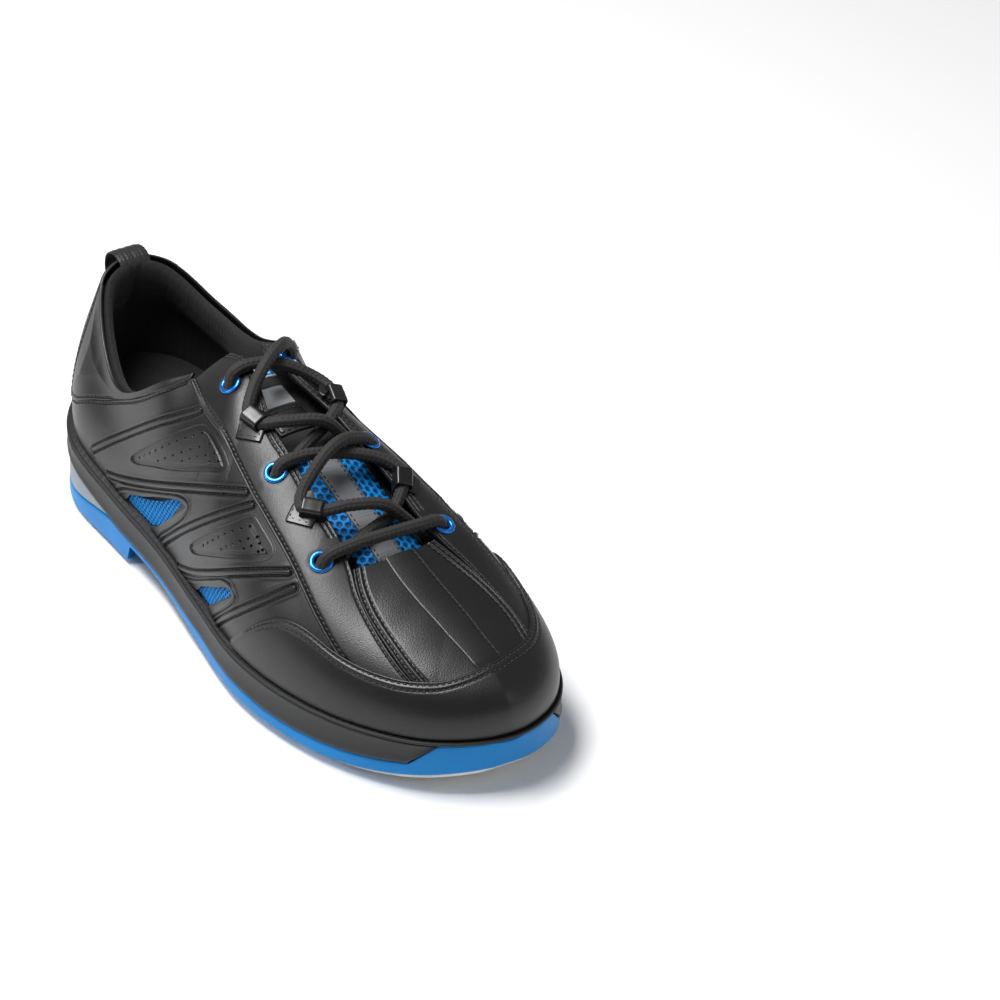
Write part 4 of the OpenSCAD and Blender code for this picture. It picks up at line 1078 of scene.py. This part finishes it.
def insole():
    """Foam insole with a cupped edge at the heel and a shallow dish under it."""
    t, c = np.broadcast_arrays(np.linspace(0.008, 0.992, 200)[:, None], shares(60)[None])
    cup = np.abs(2 * c - 1) ** 3 * np.clip(1 - t * 1.6, 0, 1) * 4
    base = feather_z(t)
    dish = 0.5 * np.exp(-(((t - 0.12) / 0.07) ** 2 + ((c - 0.5) / 0.3) ** 2))
    return piece("insole", slab(t, c, INSOLE_INSET, base + 0.1, base + 3.6 + cup - dish, 1.2), "insole_cloth")


lining_piece = collar_lining()
vamp_lining()
insole_piece = insole()

# ---------------------------------------------------------------- tongue
# Its middle line from the tip to the sewn base, half its width at each key, and how far it is bent round
TONGUE = [[106, 0, 95.5], [128, 0.5, 94], [152, 1.5, 88.5], [176, 3, 80.5], [200, 4.5, 70.5],
          [222, 6, 59.8], [236, 7, 53.5]]
TONGUE_HALF = [14, 15.5, 17, 18, 17.5, 16, 14]
TONGUE_ROUND = 45.0
TONGUE_THICK = 5.0
TONGUE_STEP = 23.5  # millimetres from one key of TONGUE to the next


def tongue_point(s, w, lift):
    """Point of the tongue: s counts the keys of TONGUE, w is millimetres across, lift millimetres off it."""
    shape = np.broadcast(s, w, lift).shape
    s, w, lift = (np.broadcast_to(q, shape).ravel().astype(float) for q in (s, w, lift))
    p = through(TONGUE, s)
    d = unit(through(TONGUE, s + 0.02) - through(TONGUE, s - 0.02))
    turn = w / TONGUE_ROUND
    up = unit(np.column_stack([-d[:, 2], 0 * s, d[:, 0]]))
    out = TONGUE_ROUND + lift
    side = np.column_stack([0 * s, out * np.sin(turn), 0 * s])
    return (p + side + up * (out * np.cos(turn) - TONGUE_ROUND)[:, None]).reshape(shape + (3,))


def tongue_pad():
    rows, cols = 110, 33
    s = np.linspace(0, 6, rows)[:, None]
    c = np.sin(np.linspace(-math.pi / 2, math.pi / 2, cols))[None]
    half = through(TONGUE_HALF, s[:, 0])[:, None]
    from_end = np.minimum(s, 6 - s) * 22
    tip = rounded(from_end, 5)
    edge = np.sqrt(np.clip(1 - np.abs(c) ** 5, 0, 1))
    full = TONGUE_THICK * edge * (0.1 + 0.9 * tip)
    # Sewn channel round the padding, a few millimetres in from the edge
    side_gap = half * (1 - np.abs(c))
    channel = 0.55 * hump(side_gap - 3.2, 0.9) + 0.5 * hump(from_end - 5.5, 1.0)
    round_off = TONGUE_THICK * 0.32 * (1 - edge * (0.2 + 0.8 * tip))
    half = half + 3.5 * np.clip(c, 0, 1)
    top = tongue_point(s, c * half, -round_off - channel)
    low = tongue_point(s, c * half, -np.maximum(full, 0.8) + channel * 0.4)
    loop = np.concatenate([top, low[:, ::-1][:, 1:-1], top[:, :1]], 1)
    ends = [np.stack([top[i], low[i]], 0) for i in (0, -1)]
    obj = piece("tongue_pad", [shell(loop, loop.mean((0, 1)))] + [sheet_part(e) for e in ends],
                "lining_cloth", body="tongue")
    pinned = np.ones(loop.shape[:2], bool)
    pinned[3:-3, cols + 2:2 * cols - 4] = False
    flat = np.concatenate([pinned.ravel(), np.ones(4 * cols, bool)])
    return smooth(swell(obj, flat, cap=0.0012))


def tongue_sheet(name, s0, s1, w0, w1, high, look, relief, low=0.1, step=0.4, shade_tone=None):
    """Thin sheet sewn on the tongue, with rounded edges; relief is a function of its own millimetres."""
    length = TONGUE_STEP * (s1 - s0)
    s = s0 + (s1 - s0) * spaced(length, step, BORDERS)
    w = w0 + (w1 - w0) * spaced(w1 - w0, step, BORDERS)
    x, y = (s[:, None] - s0) * TONGUE_STEP + 0 * w, w[None] - w0 + 0 * s[:, None]
    d = np.minimum(np.minimum(x, length - x), np.minimum(y, (w1 - w0) - y))
    lift = low + (high - low) * (0.2 + 0.8 * rounded(d, 0.5)) + relief(x, y, d)
    top = tongue_point(s[:, None], w[None], lift)
    base = tongue_point(s[:, None], w[None], low - 0.3)
    face = shell(top, base.mean((0, 1)) - [0, 0, 30], shade_tone and shade_tone(x, y))
    piece(name, [face, skirt(top.mean((0, 1)), top, base)], look, body="tongue")


def net_relief(x, y, d):
    """Strands of twisted yarn round open cells."""
    hole = hex_hole(x, y, *TONGUE_NET)
    twist = 0.08 * np.cos(2 * math.pi * (x - y) / 0.7)
    return (0.5 + twist) * (1 - hole) - 0.35 * hole


def ribbed(pitch, depth):
    return lambda x, y, d: depth * np.cos(2 * math.pi * x / pitch) * np.clip(d / 0.8, 0, 1)


def grooved(inset, depth, width):
    return lambda x, y, d: -depth * hump(d - inset, width)


tongue_piece = tongue_pad()
# The nets' open cells are painted darker: partly the dark pad seen through them, partly painted shade in the
# cells
for name, w0, w1 in (("tongue_mesh_outer", -13.6, -6), ("tongue_mesh_inner", 6, 15.5)):
    tongue_sheet(name, 2.6, 5.2, w0, w1, 0.6, "mesh_blue", net_relief, step=0.3,
                 shade_tone=lambda x, y: 1 - 0.92 * hex_hole(x, y, *TONGUE_NET))
tongue_sheet("tongue_strip", 2.4, 5.3, -5.6, 5.6, 0.9, "strip_grey", ribbed(1.1, 0.07))
tongue_sheet("tongue_patch", 1.05, 1.5, -7, 7, 0.8, "patch_silver", grooved(1.2, 0.15, 0.3))
tongue_sheet("tongue_keeper", 1.55, 2.1, -9, 9, 0.9, "stay_leather", grooved(1.5, 0.2, 0.4))
tongue_sheet("tongue_label", 0.15, 0.75, -9, 9, 0.7, "label_cloth", ribbed(0.8, 0.04))
# The label's border is four raised bars
border_bars = []
for s0, s1, w0, w1 in ((0.17, 0.24, -8.7, 8.7), (0.66, 0.73, -8.7, 8.7), (0.2, 0.7, -8.7, -7.2),
                       (0.2, 0.7, 7.2, 8.7)):
    s, w = np.linspace(s0, s1, 14)[:, None], np.linspace(w0, w1, 40)[None]
    bow = np.sin(math.pi * (s - s0) / (s1 - s0)) ** 0.4 * np.sin(math.pi * (w - w0) / (w1 - w0)) ** 0.4
    border_bars.append(shell(tongue_point(s, w, 0.6 + 0.4 * bow), tongue_point(0.5, 0, -30)))
piece("tongue_label_border", border_bars, "mesh_blue", body="tongue")
# Rows of stitches along the grey strip, then across the keeper
tongue_threads = []
for w, above in ((-6.6, 1.0), (-4.6, 0.95), (4.6, 0.95), (6.6, 1.0)):
    line = tongue_point(np.linspace(2.45, 5.2, 120), w, above)
    stitch(line, np.tile([0.35, 0, 0.93], (120, 1)), into=tongue_threads)
for s in (1.62, 2.03):
    line = tongue_point(s, np.linspace(-8.3, 8.3, 40), 0.95)
    stitch(line, np.tile([0.3, 0, 0.95], (40, 1)), into=tongue_threads)
piece("tongue_stitching", tongue_threads, "thread", body="tongue")

lace_piece, lace_line = lace()
aglet_piece = aglets()

# ---------------------------------------------------------------- sole
WELT_STATIONS = np.linspace(0, 2, 1101)[:-1]


def ring_piece(name, stations, profile_of, look, closed):
    """Band round the shoe: profile_of gives inset and height rows for every station, as a closed outline."""
    inset, z = profile_of(stations)
    co = np.stack([rim_point(stations, inset[:, j], z[:, j]) for j in range(inset.shape[1])], 1)
    co = np.concatenate([co, co[:, :1]], 1)
    parts = [shell(co, co.reshape(-1, 3).mean(0), closed=closed)]
    if not closed:
        parts += [sheet_part(np.stack([co[i], co[i].mean(0) + 0 * co[i]], 0)) for i in (0, -1)]
    piece(name, parts, look)


def welt_profile(a):
    """Smooth outer ridge, then a coarse grained slope up to the upper."""
    r, f = at_stage(RIDGE_Z, a), feather_z(a) - 0.3
    q = np.linspace(-math.pi / 2, math.pi / 2, 9)
    ridge_in = 0.85 - 0.85 * np.cos(q)
    ridge_up = 0.75 + 0.75 * np.sin(q)
    k = np.linspace(0, 1, 12)
    slope_in = 1.3 + k * 3.4
    inset = np.concatenate([ridge_in, slope_in, [9, 9]])
    slope_up = (r + 1.1)[:, None] + (f - r - 1.1)[:, None] * k[None] ** 1.2
    z = np.concatenate([r[:, None] + ridge_up[None], slope_up, f[:, None], r[:, None]], 1)
    x = np.arange(len(a))[:, None]
    y = np.arange(len(inset))[None]
    grain = np.sin(x * 2.1 + 3 * np.sin(y * 1.7)) * np.sin(y * 2.3 + 2 * np.sin(x * 0.9 + y))
    grainy = (y > 10) & (y < 20)
    z = z + np.where(grainy, 0.32 * grain, 0)
    return np.broadcast_to(inset, z.shape), z


# Stations between which the side wall runs out and the blue rim climbs to the welt
TOE_RISE = (0.868, 0.905)
# Height of the plate's underside at the heel and, on the sliding pad, at the ball; how much the arch adds,
# and the station where the arch ends
HEEL_FACE, FORE_FACE, ARCH_RISE, ARCH_END = 1.4, 3.2, 6.2, 0.56
# Distance in from the outline of the plate, the wedge, the panels under the arch and the pad
PLATE_INSET, WEDGE_INSET, ARCH_INSET, PAD_INSET = 0.6, 0.9, 2.6, 4.6


def toe_share(t):
    """0 behind the toe's rise and 1 in front of it."""
    return np.clip((t - TOE_RISE[0]) / (TOE_RISE[1] - TOE_RISE[0]), 0, 1)


def band_profile(a):
    """Side wall of the sole: slightly hollow, with small beads at its edges."""
    low, high = at_stage(BAND_LOW, a), at_stage(RIDGE_Z, a) - 0.1
    low = low + (high - low - 0.3) * toe_share(stage_of(a))
    k = np.array([0, 0.04, 0.1, 0.18, 0.3, 0.45, 0.6, 0.75, 0.86, 0.93, 0.98, 1, 1, 0])
    inset = np.array([0.7, 0.15, 0.0, 0.12, 0.45, 0.55, 0.55, 0.5, 0.3, 0.1, 0.1, 0.6, 5, 5])
    return np.broadcast_to(inset, (len(a), len(k))), low[:, None] + (high - low)[:, None] * k[None]


def plate_top(t):
    """Height of the plate's upper face: under the wedge at the heel, else under the side wall."""
    return np.where(t < 0.3, at_stage(WEDGE_LOW, t), at_stage(BAND_LOW, t)) - GAP


def breast(c):
    """Station of the heel's curved front edge."""
    return 0.29 + 0.045 * (2 * c - 1) ** 2


def spring(x):
    """How far the toe is lifted off the floor."""
    return np.where(x < 240, 0, 10.5 * ((x - 240) / 63) ** 2)


def plate_bottom(t, c):
    """Height of the plate's underside, before the toe's lift."""
    arch = FORE_FACE + ARCH_RISE * (np.cos((t - 0.31) * math.pi / 0.25) + 1) / 2
    step = np.clip((t - breast(c)) / 0.006, 0, 1)
    return HEEL_FACE + step * (np.where(t < ARCH_END, arch, FORE_FACE) - HEEL_FACE)


# The heel is cut to two round lobes, each with a slot for a tread band between two radii
LOBES = [(43, -42), (43, 38)]
LOBE_R = 46
TREAD_R = (18, 31)


def past_lobes(x, y):
    """Distance outside the nearer lobe."""
    return np.min([np.hypot(x - lx, y - ly) - LOBE_R for lx, ly in LOBES], axis=0)


def outsole():
    """Blue plate: lobed heel cut by curved slots, arched waist, and a rim that climbs at the toe."""
    t = np.unique(np.concatenate([np.linspace(0.006, 0.36, 260), np.linspace(0.36, 0.994, 260)]))[:, None]
    t, c = np.broadcast_arrays(t, shares(110)[None])
    xy = across(t, c, PLATE_INSET, 0.0)
    x, y = xy[..., 0], xy[..., 1]
    bottom = plate_bottom(t, c) + spring(x)
    heel = np.clip(-np.minimum(past_lobes(x, y), x - LOBES[0][0]) / 0.8, 0, 1)
    width = np.linalg.norm(xy[:, 0] - xy[:, -1], axis=1)[:, None]
    edge = np.minimum(np.minimum(c, 1 - c) * width, (t - 0.006) * 350)
    heel *= np.clip((edge - 2.2) / 0.8, 0, 1)
    slot = np.zeros(x.shape)
    for lx, ly in LOBES:
        r = np.hypot(x - lx, y - ly)
        slot = np.maximum(slot, np.clip((6.7 - np.abs(r - sum(TREAD_R) / 2)) / 0.4, 0, 1))
    bottom = bottom - 1.3 * heel * (1 - slot)
    low = plate_top(t)
    top = low + (at_stage(RIDGE_Z, t) - 0.25 - low) * toe_share(t)
    # Painted shade: the plate's underside is darker inside the heel's tread slots
    piece("outsole", slab(t, c, PLATE_INSET, bottom, top, 1.3, 1 - 0.6 * slot * heel), "sole_blue")


def heel_treads():
    """Black tread bands in the lobes' slots, cut off where the heel ends."""
    parts = []
    for lx, ly in LOBES:
        sign = 1 if ly < 0 else -1
        q = np.linspace(0, 2 * math.pi, 260)
        r = np.concatenate([[TREAD_R[0] + 0.4] * 2, np.linspace(TREAD_R[0] + 0.6, TREAD_R[1] - 0.6, 26),
                            [TREAD_R[1] - 0.4] * 2])
        x, y = lx + r[None] * np.cos(q)[:, None], ly + r[None] * np.sin(q)[:, None]
        z = np.concatenate([[1.25, 0.25], np.full(26, 0.05), [0.25, 1.25]])[None] + 0 * x
        ripple = 0.1 * np.cos(2 * math.pi * (x + y * sign) / 1.6) * ((z < 0.1) * 1.0)
        co = np.stack([x, y, z + np.maximum(ripple, 0)], -1)
        keep = inside_of(x, y, rim_point(np.linspace(-0.36, 0.36, 160), 3.0, 0.0)[:, :2])
        keep &= (x < lx) | (past_lobes(x, y) < 0)
        parts.append(facing(kept(sheet_part(co), keep), [lx, ly, -5]))
    piece("heel_treads", parts, "band_rubber")


def wedge():
    """Grey foam wedge between the plate and the side wall."""
    t, c = np.broadcast_arrays(np.linspace(0.006, 0.29, 120)[:, None], shares(60)[None])
    low, high = at_stage(WEDGE_LOW, t), at_stage(BAND_LOW, t) - GAP
    piece("heel_wedge", slab(t, c, WEDGE_INSET, low, high, 0.8), "foam_grey")


# Stations of the pad's four grooves
PAD_CUTS = [0.611, 0.643, 0.672, 0.7]


def pad_back(c):
    """Station of the pad's curved rear edge, less the part that differs from piece to piece."""
    return 0.09 * np.abs(2 * c - 1) ** 1.6 - 0.02 * c


def slide_pad():
    """White sliding pad, four grooves across, with a napped face."""
    c = shares(110)[None]
    back = 0.462 + pad_back(c)
    u = np.linspace(0, 1, 90)[:, None]
    lead = back * (1 - u) + 0.6 * u
    rest = np.unique(np.concatenate([np.linspace(0.6, 0.71, 200), np.linspace(0.71, 0.965, 160)]))[1:, None]
    t = np.concatenate([lead, rest + 0 * c], 0)
    c = c + 0 * t
    x, y = np.moveaxis(across(t, c, PAD_INSET, 0.0)[..., :2], -1, 0)
    lift = np.where(t < ARCH_END, plate_bottom(np.minimum(t, ARCH_END), 0.5) - FORE_FACE, 0) + spring(x)
    depth = np.max([np.clip((0.0052 - np.abs(t - cut)) / 0.0012, 0, 1) for cut in PAD_CUTS], axis=0)
    nap = 0.05 * np.sin(x * 2.7 + 2 * np.sin(y)) * np.sin(y * 2.9)
    low = lift + 0.06 + 0.9 * depth + nap * (1 - depth)
    # Painted shade: the face is a little darker in the four grooves
    piece("slide_pad", slab(t, c, PAD_INSET, low, lift + 3, 0.5, 1 - 0.2 * depth), "pad_white")


def arch_panel(which, start, end):
    """Black panel under the arch, between two shares across the sole."""
    c = (start + (end - start) * spaced(18.0, 0.35, BORDERS))[None]
    rear = 0.355
    u = spaced(30.0, 0.35, BORDERS)[:, None]
    t = rear + (0.452 + pad_back(c) - rear) * u
    c = c + 0 * t
    x, y = np.moveaxis(across(t, c, ARCH_INSET, 0.0)[..., :2], -1, 0)
    p, q = x + y, x - y
    if which == "centre":
        bumps = 0.04 * np.sin(p * 1.9) * np.sin(q * 1.9)
    else:
        bumps = 0.22 * np.abs(np.sin(p * 1.35)) * np.abs(np.sin(q * 1.35))
    near = np.minimum(np.minimum((c - start) * 90, (end - c) * 90), np.minimum(u, 1 - u) * 30)
    base = plate_bottom(t, c)
    face = base - 1.5 + 0.5 * (1 - np.clip(near, 0, 1)) ** 2 - bumps
    piece(f"arch_panel_{which}", slab(t, c, ARCH_INSET, face, base - 0.1, 0.3), "band_rubber")


BAND_STATIONS = np.linspace(-TOE_RISE[1], TOE_RISE[1], 1000)
ring_piece("welt", WELT_STATIONS, welt_profile, "welt_rubber", closed=True)
ring_piece("foxing_band", BAND_STATIONS, band_profile, "band_rubber", closed=False)
outsole()
heel_treads()
wedge()
slide_pad()
arch_panel("outer", 0.01, 0.21)
arch_panel("centre", 0.385, 0.61)
arch_panel("inner", 0.79, 0.99)

# Pieces inside the shoe keep their CAD mesh and get a material of their own
for node, look in (("midsole", "filler_foam"), ("collar_foam", "filler_foam"), ("shank", "shank_steel"),
                   ("insole_board", "board"), ("heel_counter", "board"), ("toe_puff", "board")):
    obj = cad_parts[node]
    obj.data.materials.clear()
    obj.data.materials.append(LOOKS[look])


# ---------------------------------------------------------------- floor, light, camera
floor_mesh = bpy.data.meshes.new("floor")
floor_mesh.from_pydata([(-4, -4, 0), (4, -4, 0), (4, 4, 0), (-4, 4, 0)], [], [(0, 1, 2, 3)])
floor = bpy.data.objects.new("floor", floor_mesh)
floor.location.z = -0.0004
pale = bpy.data.materials.new("pale_floor")
pale.use_nodes = True
pale_inputs = pale.node_tree.nodes["Principled BSDF"].inputs
pale_inputs["Base Color"].default_value = (0.95, 0.95, 0.95, 1)
pale_inputs["Roughness"].default_value = 0.6
floor_mesh.materials.append(pale)
bpy.context.scene.collection.objects.link(floor)

world = bpy.data.worlds.new("studio")
world.use_nodes = True
sky = world.node_tree.nodes["Background"].inputs
sky["Color"].default_value = (1, 1, 1, 1)
sky["Strength"].default_value = 0.25
bpy.context.scene.world = world
bpy.context.scene.view_settings.view_transform = "Standard"


def placed(right, up, back, at):
    """Matrix of a light or the camera from its own axes and its place."""
    return Matrix([[right[i], up[i], back[i], at[i]] for i in range(3)] + [[0, 0, 0, 1]])


def softbox(name, place, size, power):
    """Rectangular area light that looks at the middle of the shoe."""
    light = bpy.data.lights.new(name, "AREA")
    light.shape = "RECTANGLE"
    light.size, light.size_y = size
    light.energy = power
    obj = bpy.data.objects.new(name, light)
    bpy.context.scene.collection.objects.link(obj)
    back = -unit(np.array([0, 0, 0.05]) - np.array(place))
    right = unit(np.cross([0.0, 0.001, 1.0], back))
    obj.matrix_world = placed(right, np.cross(back, right), back, place)


softbox("overhead", (-0.2, -0.3, 1.25), (0.8, 0.4), 20)
softbox("left_strip", (-0.5, -1.3, 0.9), (0.3, 0.8), 5)
softbox("toe_fill", (1.2, 0.9, 0.8), (0.8, 0.8), 2)

CAMERA_AT = (1.3073, -0.77266, 1.0611)
YAW, PITCH, ROLL = 2.5534, 0.5857, 0.0325
view = np.array([math.cos(PITCH) * math.cos(YAW), math.cos(PITCH) * math.sin(YAW), -math.sin(PITCH)])
right = unit(np.cross(view, [0, 0, 1]))
over = np.cross(right, view)
right_rolled = math.cos(ROLL) * right + math.sin(ROLL) * over
over_rolled = -math.sin(ROLL) * right + math.cos(ROLL) * over
camera_data = bpy.data.cameras.new("camera")
camera_data.lens = 162
camera_data.sensor_width = 36
camera_data.clip_start, camera_data.clip_end = 0.05, 20
camera = bpy.data.objects.new("camera", camera_data)
camera.matrix_world = placed(right_rolled, over_rolled, -view, CAMERA_AT)
bpy.context.scene.collection.objects.link(camera)
bpy.context.scene.camera = camera
